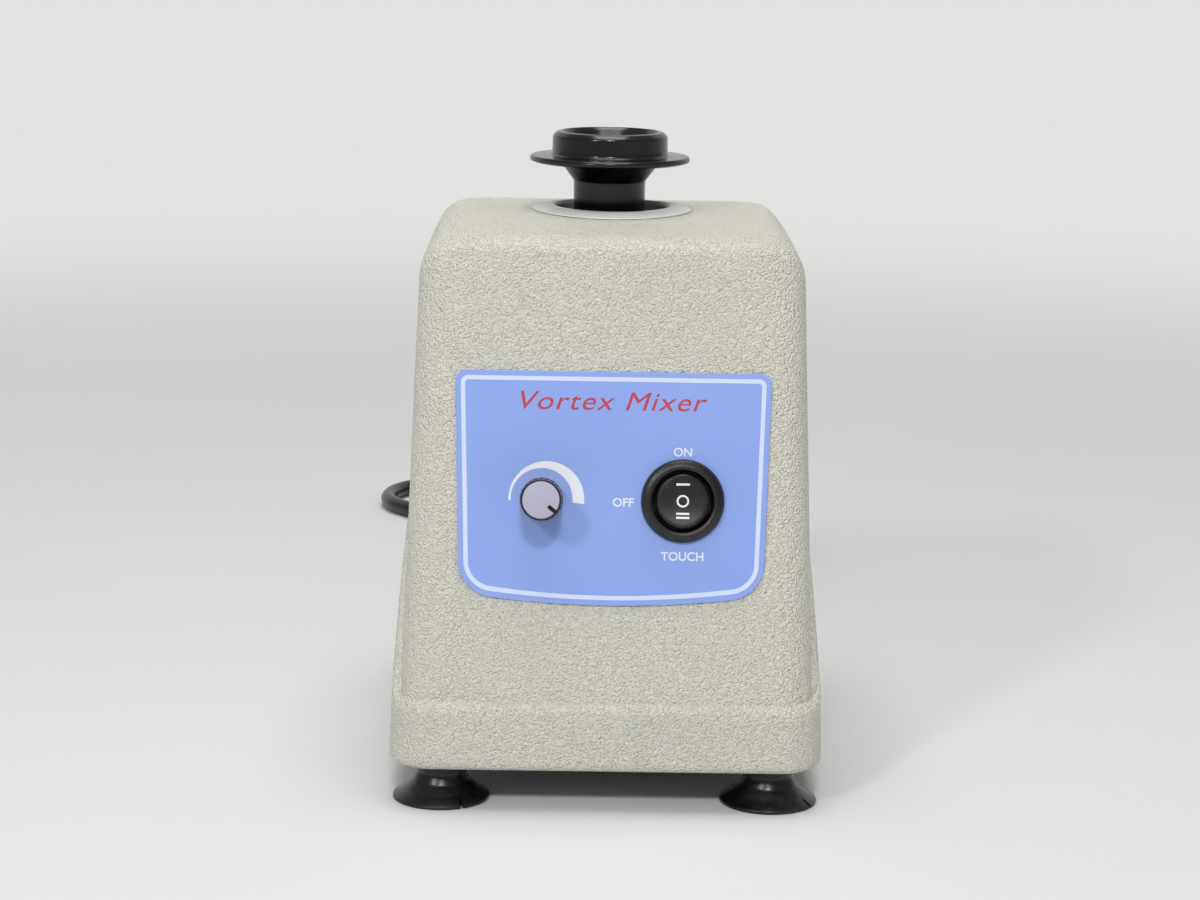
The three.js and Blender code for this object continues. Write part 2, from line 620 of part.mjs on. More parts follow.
add(assembly, 'motor_can', ring(CORE_R + 0.6, MOTOR_R, CAN_LOW, CAN_HIGH, 28), darkSteel());
add(assembly, 'motor_end_upper', turned([
  [boreR, CAN_HIGH + GAP], [MOTOR_R - 1, CAN_HIGH + GAP], [MOTOR_R - 1, CAN_HIGH + 5],
  [MOTOR_R - 8, PLATE_LOW - GAP], [seatR, PLATE_LOW - GAP], [seatR, upperBearing - GAP],
  [boreR, upperBearing - GAP], [boreR, CAN_HIGH + GAP],
], 24), aluminium());
add(assembly, 'motor_end_lower', turned([
  [0, MOTOR_LOW], [MOTOR_R - 8, MOTOR_LOW], [MOTOR_R - 1, MOTOR_LOW + 4], [MOTOR_R - 1, CAN_LOW - GAP],
  [seatR, CAN_LOW - GAP], [seatR, lowerBearing - GAP], [0, lowerBearing - GAP],
], 24), aluminium());
const bearing = (low) => ring(SHAFT_R + RUN, BEARING_R, low, low + BEARING_T, 20);
add(assembly, 'motor_bearing_upper', bearing(upperBearing), steel());
add(assembly, 'motor_bearing_lower', bearing(lowerBearing), steel());

// ---- rotor: core, shaft, eccentric hub, counterweight ----------------------------------------------
const HUB_LOW = PLATE_HIGH + 4;
const HUB_HIGH = HUB_LOW + 12;
const HUB_R = 15;
const SHAFT_TOP = HUB_HIGH - 3;
const HEAD_LOW = HUB_HIGH + 8; // lower face of the driven head
const PIN_R = SHAFT_R - 0.3; // crank pin, a size under the bearing's bore
const crankX = ORBIT_R * Math.cos(ORBIT_REST);
const crankY = ORBIT_R * Math.sin(ORBIT_REST);
const WEIGHT_R = 24;

add(assembly, 'motor_shaft', rod(SHAFT_R, lowerBearing, SHAFT_TOP, 16), steel());
add(assembly, 'rotor_core', ring(SHAFT_R + GAP, CORE_R, CAN_LOW + 3, CAN_HIGH - 3, 24), darkSteel());
const crankPin = moved(rod(PIN_R, HUB_HIGH - 1, HEAD_LOW + BEARING_T, 14), crankX, crankY, 0);
add(assembly, 'eccentric_hub', cut(
  join(rod(HUB_R, HUB_LOW, HUB_HIGH, 24), crankPin),
  rod(SHAFT_R + GAP, HUB_LOW - 1, SHAFT_TOP + GAP, 16),
), steel());

function counterweight() {
  const shape = new THREE.Shape();
  const middle = ORBIT_REST + Math.PI;
  const reach = 70 * DEG;
  shape.absarc(0, 0, WEIGHT_R, middle - reach, middle + reach, false);
  shape.absarc(0, 0, HUB_R + GAP, middle + reach, middle - reach, true);
  shape.closePath();
  return slab(shape, HUB_LOW + 1, HUB_HIGH - 1, 10);
}

add(assembly, 'counterweight', counterweight(), brass());

// ---- driven head and the ring that stops it from spinning ------------------------------------------
const GUIDE_PIN_R = 2;
const GUIDE_PIN_AT = 21;
const HEAD_FLANGE_R = GUIDE_PIN_AT + 4.5;
const HEAD_TOP = HEAD_LOW + BEARING_T + 3.5;
const RING_HIGH = HEAD_LOW - 1;
const RING_LOW = RING_HIGH - 4;
const LEG_AT = 31;
const LEG_R = 3;
const guideAngles = [30, 150, 270].map((d) => d * DEG);

const headGroup = new THREE.Group();
headGroup.position.set(crankX, crankY, 0);
assembly.add(headGroup);
const around = (geometry, at, a) => moved(geometry, at * Math.cos(a), at * Math.sin(a), 0);
const guidePins = guideAngles.map((a) =>
  around(rod(GUIDE_PIN_R, RING_LOW + 0.5, HEAD_LOW + 1, 10), GUIDE_PIN_AT, a));
add(headGroup, 'drive_head', join(turned([
  [seatR, HEAD_LOW], [HEAD_FLANGE_R, HEAD_LOW], [HEAD_FLANGE_R, HEAD_LOW + 3], [STEM_R + 9, HEAD_TOP],
  [STEM_R, HEAD_TOP], [STEM_R, CUP_BOTTOM + 14], [0, CUP_BOTTOM + 14],
  [0, HEAD_LOW + BEARING_T + 2 * GAP], [seatR, HEAD_LOW + BEARING_T + 2 * GAP], [seatR, HEAD_LOW],
], 24), ...guidePins), aluminium());
add(headGroup, 'head_bearing', bearing(HEAD_LOW + GAP), steel());

const guideHoles = guideAngles.map((a) =>
  around(rod(GUIDE_PIN_R + ORBIT_R + RUN, RING_LOW - 1, RING_HIGH + 1, 18), GUIDE_PIN_AT, a));
const legs = guideAngles.map((a) =>
  around(rod(LEG_R, PLATE_HIGH + GAP, RING_LOW + 1, 10), LEG_AT, a + 60 * DEG));
add(assembly, 'guide_ring', cut(
  join(ring(PIN_R + ORBIT_R + 8, LEG_AT + LEG_R, RING_LOW, RING_HIGH, 28), ...legs), ...guideHoles), nylon());

// ---- rubber cup ------------------------------------------------------------------------------------
const DISH_R = 13.6;
const DISH_FLOOR_R = 5;
const DISH_FLOOR = CUP_TOP - 6;
const flangeTop = CUP_FLANGE_Z + CUP_FLANGE_T;
add(headGroup, 'cup', turned([
  [0, DISH_FLOOR], [DISH_FLOOR_R, DISH_FLOOR], [10.5, DISH_FLOOR + 2.2], [DISH_R, CUP_TOP - 0.8],
  [DISH_R + 0.9, CUP_TOP], [CUP_R - 1, CUP_TOP - 0.9], [CUP_R, CUP_TOP - 2.6], [CUP_R, flangeTop + 0.8],
  [CUP_R + 0.9, flangeTop], [CUP_FLANGE_R - 0.6, flangeTop], [CUP_FLANGE_R, flangeTop - 0.7],
  [CUP_FLANGE_R, CUP_FLANGE_Z + 0.5], [CUP_FLANGE_R - 0.6, CUP_FLANGE_Z],
  [CUP_NECK_R + 4.4, CUP_FLANGE_Z - 0.9], [CUP_NECK_R + 1.2, CUP_FLANGE_Z - 3.6],
  [CUP_NECK_R, CUP_FLANGE_Z - 5.4], [CUP_NECK_R, CUP_BOTTOM], [STEM_R + GAP, CUP_BOTTOM],
  [STEM_R + GAP, CUP_BOTTOM + 14 + GAP], [0, CUP_BOTTOM + 14 + GAP],
], 30), rubber());

// ---- touch switch that the motor presses when the head goes down -----------------------------------
const PLUNGER_TOP = MOTOR_LOW - GAP;
const MICRO_TOP = PLUNGER_TOP - 3.2;
const MICRO = { x: 16, halfX: 5, halfY: 14, high: 16, plungerR: 1.8, deep: 6 };
const bracketBack = MICRO.x + MICRO.halfX + GAP;
add(assembly, 'touch_switch_bracket', join(
  block(bracketBack, bracketBack + 1.5, -10, 10, FLOOR_Z + GAP, MICRO_TOP - 1),
  block(bracketBack, bracketBack + 14, -10, 10, FLOOR_Z + GAP, FLOOR_Z + GAP + 1.5),
), steel());
add(assembly, 'touch_switch_body', cut(
  block(MICRO.x - MICRO.halfX, MICRO.x + MICRO.halfX, -MICRO.halfY, MICRO.halfY,
    MICRO_TOP - MICRO.high, MICRO_TOP),
  moved(rod(MICRO.plungerR + RUN, MICRO_TOP - MICRO.deep, MICRO_TOP + 1, 12), MICRO.x, 0, 0),
), blackPlastic());
add(assembly, 'touch_switch_plunger', moved(
  rod(MICRO.plungerR, MICRO_TOP - MICRO.deep + TRAVEL + GAP, PLUNGER_TOP, 10), MICRO.x, 0, 0), nylon());

// ---- speed control board ---------------------------------------------------------------------------
const BOARD = { halfX: 36, y0: 42, y1: 66, t: 1.6 };
const STANDOFF_H = 6;
const boardLow = FLOOR_Z + GAP + STANDOFF_H + GAP;
const boardHigh = boardLow + BOARD.t;
add(assembly, 'control_board',
  block(-BOARD.halfX, BOARD.halfX, BOARD.y0, BOARD.y1, boardLow, boardHigh), boardGreen());
for (const [side, x] of [['left', -BOARD.halfX + 4], ['right', BOARD.halfX - 4]]) {
  for (const [end, y] of [['front', BOARD.y0 + 4], ['rear', BOARD.y1 - 4]]) {
    add(assembly, `board_standoff_${end}_${side}`,
      moved(rod(2.6, FLOOR_Z + GAP, FLOOR_Z + GAP + STANDOFF_H, 6), x, y, 0), brass());
  }
}
const fins = [0, 1, 2, 3, 4].map((i) => block(
  -26 + i * 5, -24.4 + i * 5, BOARD.y0 + 8, BOARD.y0 + 20, boardHigh + GAP, boardHigh + 20));
add(assembly, 'heat_sink', join(
  block(-27, -2, BOARD.y0 + 6, BOARD.y0 + 9, boardHigh + GAP, boardHigh + 20), ...fins), aluminium());
add(assembly, 'capacitor', moved(rod(6, boardHigh + GAP, boardHigh + 18, 16), 8, BOARD.y0 + 12, 0),
  finish(0x8c3b2a, 0.5));
add(assembly, 'terminal_block',
  block(17, 31, BOARD.y0 + 8, BOARD.y0 + 18, boardHigh + GAP, boardHigh + 10), finish(0x2f7d46, 0.5));

// ---- strain relief, power cord, coil and plug ------------------------------------------------------
const RELIEF_OUT = 27; // how far the strain relief stands out of the wall
const reliefInner = -(STEP + WALL) - GAP;
add(exit, 'strain_relief', turned([
  [0, reliefInner - 3], [RELIEF_R + 2.5, reliefInner - 3], [RELIEF_R + 2.5, reliefInner],
  [RELIEF_R, reliefInner],
  [RELIEF_R, GAP], [RELIEF_R + 2, GAP], [RELIEF_R + 2, 2.6], [RELIEF_R - 0.4, 3.4],
  [CORD_R + 1, RELIEF_OUT], [0, RELIEF_OUT],
], 16), rubber());

const outAlong = new THREE.Vector3(0, Math.cos(REAR_LEAN), Math.sin(REAR_LEAN));
const cordStart = new THREE.Vector3(EXIT_X, exitRear, EXIT_Z).addScaledVector(outAlong, RELIEF_OUT + GAP);
const FLOOR_ROW = CORD_R + 0.25; // centre height of a cord that lies on the bench
const cordRoute = [
  [-34, 118, 49.35], [-34.5, 131, 48.2], [-35.6, 144, 42.6], [-37.2, 156, 33], [-39.4, 168, 21.5],
  [-42.2, 180.5, 11.2], [-45.6, 195, 4.8], [-49.2, 212, FLOOR_ROW], [-52.2, 232, FLOOR_ROW],
  [-54.4, 252, FLOOR_ROW], [-58.6, 270, FLOOR_ROW], [-66.2, 284.6, FLOOR_ROW], [-75.4, 294.2, FLOOR_ROW],
  [-83, 304.6, FLOOR_ROW], [-86.2, 317, FLOOR_ROW], [-84, 329.4, FLOOR_ROW], [-76.8, 339.6, FLOOR_ROW],
  [-64.8, 344.4, FLOOR_ROW], [-52, 341.4, FLOOR_ROW], [-41.6, 331.6, FLOOR_ROW], [-34.4, 317, FLOOR_ROW],
  [-30.4, 298, FLOOR_ROW], [-28.8, 275, FLOOR_ROW], [-29.8, 250, FLOOR_ROW], [-33, 225, FLOOR_ROW],
].map(([x, y, z]) => new THREE.Vector3(x, y, z));
const coilEdge = COIL_R + COIL_HALF + CORD_R + GAP; // centre line of a cord that touches the coil
const joinAngle = 165 * DEG;
const cordEnd = new THREE.Vector3(
  COIL_X + coilEdge * Math.cos(joinAngle), COIL_Y + coilEdge * Math.sin(joinAngle), FLOOR_ROW);
const cordCurve = new THREE.CatmullRomCurve3([cordStart, ...cordRoute, cordEnd], false, 'centripetal');
add(assembly, 'power_cord', tube(cordCurve, CORD_R, 36, 8), blackPlastic());

const coil = { in: COIL_R - COIL_HALF, out: COIL_R + COIL_HALF, low: 0.1, high: COIL_H, soft: 2.5 };
add(assembly, 'cord_coil', moved(turned([
  [coil.in + coil.soft, coil.low], [coil.out - coil.soft, coil.low], [coil.out, coil.low + coil.soft],
  [coil.out, coil.high - coil.soft], [coil.out - coil.soft, coil.high], [coil.in + coil.soft, coil.high],
  [coil.in, coil.high - coil.soft], [coil.in, coil.low + coil.soft], [coil.in + coil.soft, coil.low],
], 32), COIL_X, COIL_Y, 0), blackPlastic());

const PLUG = { halfW: 13, halfH: 10, length: 32, bootLength: 20, bladeOut: 16, round: 5 };
const BLADE = { pitch: 12.7, halfW: 3.15, t: 1.5, below: 1.9, groundR: 2.4, groundUp: 6.5 };
const LEAD = { before: 4, length: 14 }; // the free end between the coil and the plug
const plugX = COIL_X + coilEdge;
const plugZ = PLUG.halfH + 0.4;
const leadCurve = new THREE.LineCurve3(
  new THREE.Vector3(plugX, COIL_Y - LEAD.before, plugZ),
  new THREE.Vector3(plugX, COIL_Y - LEAD.before + LEAD.length, plugZ));
add(assembly, 'plug_lead', tube(leadCurve, CORD_R, 2, 8), blackPlastic());

// Frame of the plug: z along the cord and out of the blades, y towards the bench's far side.
const plugGroup = new THREE.Group();
plugGroup.position.set(plugX, COIL_Y - LEAD.before + LEAD.length + GAP, plugZ);
plugGroup.rotation.x = -Math.PI / 2;
assembly.add(plugGroup);
const plugShell = slab(roundedRectangle(PLUG.halfW, PLUG.halfH, PLUG.round), PLUG.bootLength - 1,
  PLUG.bootLength + PLUG.length, 3);
const plugBoot = turned([
  [0, 0], [CORD_R + 1, 0], [PLUG.halfH - 4, PLUG.bootLength], [0, PLUG.bootLength],
], 14);
add(plugGroup, 'plug_body', join(plugShell, plugBoot), blackPlastic());
const plugFace = PLUG.bootLength + PLUG.length + GAP;
for (const [side, sign] of [['left', -1], ['right', 1]]) {
  const x = (sign * BLADE.pitch) / 2;
  add(plugGroup, `plug_blade_${side}`, block(x - BLADE.t / 2, x + BLADE.t / 2, BLADE.below - BLADE.halfW,
    BLADE.below + BLADE.halfW, plugFace, plugFace + PLUG.bladeOut), brass());
}
add(plugGroup, 'plug_ground_pin', moved(
  rod(BLADE.groundR, plugFace, plugFace + PLUG.bladeOut + 2, 12), 0, -BLADE.groundUp, 0), brass());

export default assembly;
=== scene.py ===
# %% [markdown]
# # A bench vortex mixer
# A vortex mixer shakes a test tube: the tube is pressed into a rubber cup, and a motor moves the cup
# round a circle two millimetres in radius. The cast housing, the motor and everything that moves come
# from the CAD frame. This lesson gives each visible piece its fine surface and its finish. All lengths
# are in metres, and every piece is put where the frame says that its CAD part is.

# %% Load the frame
import math

import bpy
import numpy as np
from mathutils import Matrix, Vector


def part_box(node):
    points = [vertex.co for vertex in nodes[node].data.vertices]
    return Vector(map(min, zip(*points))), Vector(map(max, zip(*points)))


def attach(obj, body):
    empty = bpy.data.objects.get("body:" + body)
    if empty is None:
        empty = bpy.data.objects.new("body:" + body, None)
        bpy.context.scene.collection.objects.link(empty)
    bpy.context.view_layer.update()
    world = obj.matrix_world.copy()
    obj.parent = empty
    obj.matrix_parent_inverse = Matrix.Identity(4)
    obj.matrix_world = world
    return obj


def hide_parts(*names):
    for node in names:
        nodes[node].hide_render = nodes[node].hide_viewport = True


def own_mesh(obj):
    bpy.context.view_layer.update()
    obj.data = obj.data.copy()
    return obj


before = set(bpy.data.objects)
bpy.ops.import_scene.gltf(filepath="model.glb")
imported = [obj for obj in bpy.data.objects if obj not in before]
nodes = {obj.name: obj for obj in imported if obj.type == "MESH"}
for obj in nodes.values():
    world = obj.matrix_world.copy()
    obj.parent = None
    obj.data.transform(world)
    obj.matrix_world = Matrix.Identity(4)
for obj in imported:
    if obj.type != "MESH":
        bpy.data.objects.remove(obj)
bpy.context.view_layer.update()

MM = 0.001


def box(name):
    """The low and the high corner of a CAD node's box."""
    return (np.array(corner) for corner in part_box(name))


def linked(name, data):
    """A new object in the scene, at the origin."""
    made = bpy.data.objects.new(name, data)
    bpy.context.scene.collection.objects.link(made)
    return made


def facing(right, up, back, at):
    """The matrix of a camera or a lamp whose own axes point right, up and back."""
    place = np.eye(4)
    place[:3, :4] = np.stack([right, up, back, at], axis=1)
    return Matrix(place.tolist())


# %% [markdown]
# The camera comes first, because the room that a cord may take depends on what the camera sees. A
# picture of a small object from a good half metre away, with the lens a little above it, is a mild
# telephoto view. The camera's axes are worked out from three angles, which is plainer than Euler
# angles when the camera also leans to one side.

# %% Camera
LENS, SENSOR = 85.2, 36  # millimetres
CAMERA_AT = (-9.75 * MM, -828.5 * MM, 249.3 * MM)
CAMERA_TURN = -0.009  # radians to the left
CAMERA_DOWN = 0.1937
CAMERA_LEAN = 0.0168


def camera_matrix():
    """Columns are the camera's right, up and backwards axes: look along the turn, tip down, then lean."""
    ahead = np.array([
        -math.sin(CAMERA_TURN) * math.cos(CAMERA_DOWN),
        math.cos(CAMERA_TURN) * math.cos(CAMERA_DOWN),
        -math.sin(CAMERA_DOWN),
    ])
    level = np.array([math.cos(CAMERA_TURN), math.sin(CAMERA_TURN), 0.0])
    above = np.cross(level, ahead)
    right = math.cos(CAMERA_LEAN) * level + math.sin(CAMERA_LEAN) * above
    up = math.cos(CAMERA_LEAN) * above - math.sin(CAMERA_LEAN) * level
    return facing(right, up, -ahead, CAMERA_AT)


camera_data = bpy.data.cameras.new("camera")
camera_data.lens = LENS
camera_data.sensor_width = SENSOR
camera_data.clip_start = 0.01
camera = linked("camera", camera_data)
camera.matrix_world = camera_matrix()
bpy.context.scene.camera = camera
bpy.context.scene.view_settings.view_transform = "Standard"
print("camera with a", LENS, "mm lens")

# %% [markdown]
# Every new piece is a grid of points worked out with numpy. Rows run along a profile and columns run
# round it, and one function turns such a grid into a closed mesh. A row that has shrunk to a point
# becomes one vertex with a fan of triangles, so that there is no pinched hole at the pole.


# %% Grids become meshes
def grid_faces(rows, columns, round_it, back_to_start):
    """Quads between neighbours of a grid numbered row by row; the last column or row may meet the first."""
    i = np.arange(rows if back_to_start else rows - 1)
    j = np.arange(columns if round_it else columns - 1)
    i, j = np.meshgrid(i, j, indexing="ij")
    below, above = (i % rows) * columns, ((i + 1) % rows) * columns
    here, there = j % columns, (j + 1) % columns
    return np.stack([below + here, below + there, above + there, above + here], axis=-1).reshape(-1, 4)


def surface(name, points, round_it=True, back_to_start=False, poles=False, ends=False):
    """A mesh object from points[row, column]. Faces look outwards where rows rise and columns go round
    counterclockwise. poles: the first and the last row are single points, with a fan of triangles round
    each. ends: the two open ends of the columns are closed with one face each."""
    points = np.asarray(points, float)
    rows = points[1:-1] if poles else points
    count, columns = rows.shape[:2]
    faces = grid_faces(count, columns, round_it, back_to_start).tolist()
    vertices = rows.reshape(-1, 3).tolist()
    if poles:
        low, high, top = len(vertices), len(vertices) + 1, (count - 1) * columns
        vertices += [points[0].mean(0).tolist(), points[-1].mean(0).tolist()]
        ring = [(k, (k + 1) % columns) for k in range(columns)]
        faces += [(low, b, a) for a, b in ring] + [(high, top + a, top + b) for a, b in ring]
    if ends:
        faces.append([r * columns for r in range(count)])
        faces.append([r * columns + columns - 1 for r in reversed(range(count))])
    mesh = bpy.data.meshes.new(name)
    mesh.from_pydata(vertices, [], faces)
    mesh.validate()
    soften(mesh)
    return linked(name, mesh)


def soften(mesh, sharp=38):
    """Smooth faces, apart from edges that turn by more than sharp degrees."""
    mesh.shade_smooth()
    mesh.set_sharp_from_angle(angle=math.radians(sharp))


def placed(points, axes, at):
    """Local points carried to at, with the rows of axes as the local x, y and z directions."""
    return np.asarray(points) @ np.asarray(axes) + np.asarray(at)


UPRIGHT = np.eye(3)


# %% [markdown]
# Turned pieces, such as the cup and the knob, are a profile carried round an axis. Real moulded edges
# are never sharp, so the profile is given as corners with a rounding radius, and each corner is
# replaced by an arc that touches both of its sides.


# %% Profiles with rounded corners
def rounded(corners, steps=6):
    """A profile of (radius, height) points from corners (radius, height, rounding). An arc of the given
    rounding leaves one side and meets the next where both are its tangents."""
    corners = np.asarray(corners, float)
    line = [corners[0, :2]]
    for before, here, after in zip(corners[:-2], corners[1:-1], corners[2:]):
        a, b = before[:2] - here[:2], after[:2] - here[:2]
        a, b = a / np.linalg.norm(a), b / np.linalg.norm(b)
        half = math.acos(np.clip(a @ b, -1, 1)) / 2
        if here[2] <= 0 or half > 1.55:
            line.append(here[:2])
            continue
        middle = (a + b) / np.linalg.norm(a + b)
        centre = here[:2] + middle * here[2] / math.sin(half)
        from_a = here[:2] + a * here[2] / math.tan(half) - centre
        from_b = here[:2] + b * here[2] / math.tan(half) - centre
        share = np.linspace(0, 1, steps + 1)[:, None]
        turn = math.pi - 2 * half
        arc = (np.sin((1 - share) * turn) * from_a + np.sin(share * turn) * from_b) / math.sin(turn)
        line.extend(centre + arc)
    line.append(corners[-1, :2])
    return np.array(line)


def circle(columns):
    """Even angles once round, from 0."""
    return np.linspace(0, 2 * math.pi, columns, endpoint=False)


def around(profile, columns):
    """points[row, column]: each (radius, height) of the profile, carried round the z axis."""
    angle = circle(columns)
    r, z = profile[:, :1], profile[:, 1:]
    return np.stack([r * np.cos(angle), r * np.sin(angle), z + 0 * angle], axis=-1)


def turned(name, corners, axes=UPRIGHT, at=(0, 0, 0), columns=96, steps=6, closed=False):
    """A turned piece. Its profile starts and ends on the axis, or closes on itself."""
    profile = rounded(np.asarray(corners, float) * MM, steps)
    if closed:
        profile = profile[:-1]
    return surface(name, placed(around(profile, columns), axes, at), back_to_start=closed, poles=not closed)


# %% [markdown]
# Finishes are built from two shared node groups. The first, the grain, gives a colour that drifts a
# little over the surface, a roughness that drifts with it, and a fine height. The second, the dust,
# gives a mask of small specks and smears, which every handled surface has.


# %% Node groups for grain and dust
def new_group(name, inputs, outputs):
    """A shader node group with the named number or colour sockets."""
    group = bpy.data.node_groups.new(name, "ShaderNodeTree")
    for socket, kind, value in inputs:
        made = group.interface.new_socket(socket, in_out="INPUT", socket_type=kind)
        made.default_value = value
    for socket, kind in outputs:
        group.interface.new_socket(socket, in_out="OUTPUT", socket_type=kind)
    return group, group.nodes.new("NodeGroupInput"), group.nodes.new("NodeGroupOutput")


def feed(tree, socket, value):
    """Links a socket to another one, or gives it a number or a colour."""
    if isinstance(value, bpy.types.NodeSocket):
        tree.links.new(value, socket)
    else:
        socket.default_value = value


def math_node(tree, operation, a, b=None, c=None, clamp=False):
    """One arithmetic node, fed by sockets or numbers; returns its result socket."""
    node = tree.nodes.new("ShaderNodeMath")
    node.operation = operation
    node.use_clamp = clamp
    for k, value in enumerate(v for v in (a, b, c) if v is not None):
        feed(tree, node.inputs[k], value)
    return node.outputs[0]


def scaled(tree, value, by, plus=0.0, clamp=False):
    """value·by + plus, where each is a socket or a number."""
    return math_node(tree, "MULTIPLY_ADD", value, by, plus, clamp)


def own_place(tree):
    """The point in the piece's own coordinates, in metres."""
    return tree.nodes.new("ShaderNodeTexCoord").outputs["Object"]


def noise(tree, scale, detail=3.0, roughness=0.5):
    """A noise texture on the piece's own coordinates; returns its value socket."""
    node = tree.nodes.new("ShaderNodeTexNoise")
    feed(tree, node.inputs["Vector"], own_place(tree))
    feed(tree, node.inputs["Scale"], scale)
    feed(tree, node.inputs["Detail"], detail)
    feed(tree, node.inputs["Roughness"], roughness)
    return node.outputs[0]


def mix_colour(tree, share, a, b):
    """Colour a where share is 0 and b where it is 1."""
    node = tree.nodes.new("ShaderNodeMix")
    node.data_type = "RGBA"
    tree.links.new(share, node.inputs["Factor"])
    feed(tree, node.inputs[6], a)
    feed(tree, node.inputs[7], b)
    return node.outputs[2]


def make_grain():
    """Colour and roughness that drift on a large scale, and a height that is noise on a fine scale."""
    number, colour = "NodeSocketFloat", "NodeSocketColor"
    tree, given, out = new_group("grain", [
        ("Color", colour, (0.5, 0.5, 0.5, 1)), ("Shade", colour, (0.4, 0.4, 0.4, 1)),
        ("Drift Scale", number, 40.0), ("Grain Scale", number, 1500.0),
        ("Roughness", number, 0.5), ("Roughness Drift", number, 0.1),
    ], [("Color", colour), ("Roughness", number), ("Height", number)])
    drift = noise(tree, given.outputs["Drift Scale"], 4.0, 0.6)
    fine = noise(tree, given.outputs["Grain Scale"], 2.0, 0.5)
    both = scaled(tree, drift, 0.7, scaled(tree, fine, 0.3))
    share = scaled(tree, both, 2.4, -0.7, clamp=True)
    colour = mix_colour(tree, share, given.outputs["Color"], given.outputs["Shade"])
    tree.links.new(colour, out.inputs["Color"])
    centred = math_node(tree, "SUBTRACT", both, 0.5)
    amount, usual = given.outputs["Roughness Drift"], given.outputs["Roughness"]
    tree.links.new(scaled(tree, centred, amount, usual), out.inputs["Roughness"])
    tree.links.new(fine, out.inputs["Height"])
    return tree


def make_dust():
    """A mask that is 1 in sparse small specks and faint in broad smears."""
    number = "NodeSocketFloat"
    tree, given, out = new_group("dust", [
        ("Speck Scale", number, 900.0), ("Specks", number, 0.5), ("Smears", number, 0.2),
    ], [("Mask", number)])
    speck = noise(tree, given.outputs["Speck Scale"], 1.0, 0.4)
    only_peaks = scaled(tree, speck, 14.0, -10.4, clamp=True)
    smear = scaled(tree, noise(tree, 70.0, 5.0, 0.65), 2.6, -1.25, clamp=True)
    smears = scaled(tree, smear, given.outputs["Smears"])
    mask = scaled(tree, only_peaks, given.outputs["Specks"], smears, clamp=True)
    tree.links.new(mask, out.inputs["Mask"])
    return tree


GRAIN = make_grain()
DUST = make_dust()
print("node groups:", GRAIN.name, DUST.name)


# %% A finish from grain and dust
def linear(colour):
    """The light values that a shader wants, and alpha 1, of a colour as written for a screen, 0 to 255."""
    c = np.asarray(colour, float) / 255
    return (*np.where(c <= 0.04045, c / 12.92, ((c + 0.055) / 1.055) ** 2.4).tolist(), 1)


def new_material(name):
    """A material, its node tree and its Principled shader."""
    material = bpy.data.materials.new(name)
    material.use_nodes = True
    return material, material.node_tree, material.node_tree.nodes["Principled BSDF"]


def shared(tree, group, values):
    """The outputs of a node that holds one of the shared groups, with the given input values."""
    node = tree.nodes.new("ShaderNodeGroup")
    node.node_tree = group
    for socket, value in values.items():
        node.inputs[socket].default_value = value
    return node.outputs


def bumped(tree, shader, height, distance):
    """Lets the height, times a distance in millimetres, bend the shader's normal."""
    bump = tree.nodes.new("ShaderNodeBump")
    bump.inputs["Distance"].default_value = distance * MM
    tree.links.new(height, bump.inputs["Height"])
    tree.links.new(bump.outputs["Normal"], shader.inputs["Normal"])


DUST_ROUGH = 0.35  # added to the roughness where the dust lies


def finish(name, colour, shade, rough, scales, bump=0.02, metallic=0.0, specks=0.0, smears=0.0,
           dust=(150, 148, 140)):
    """A material whose colour and roughness come from the grain, with dust over it. rough is the roughness
    and how much it drifts, scales are the drift's and the grain's, and bump is in millimetres."""
    material, tree, shader = new_material(name)
    grain = shared(tree, GRAIN, {
        "Color": linear(colour), "Shade": linear(shade), "Drift Scale": scales[0],
        "Grain Scale": scales[1], "Roughness": rough[0], "Roughness Drift": rough[1]})
    bumped(tree, shader, grain["Height"], bump)
    over, now_rough = grain["Color"], grain["Roughness"]
    if specks or smears:
        mask = shared(tree, DUST, {"Specks": specks, "Smears": smears})["Mask"]
        over = mix_colour(tree, mask, over, linear(dust))
        now_rough = scaled(tree, mask, DUST_ROUGH, now_rough, clamp=True)
    tree.links.new(over, shader.inputs["Base Color"])
    tree.links.new(now_rough, shader.inputs["Roughness"])
    shader.inputs["Metallic"].default_value = metallic
    return material


def dress(made, material, body=None, stands_for=()):
    """Gives a piece its material and its body, and hides the CAD nodes that it stands for."""
    made.data.materials.clear()
    made.data.materials.append(material)
    if body:
        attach(made, body)
    if stands_for:
        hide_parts(*stands_for)
    return made
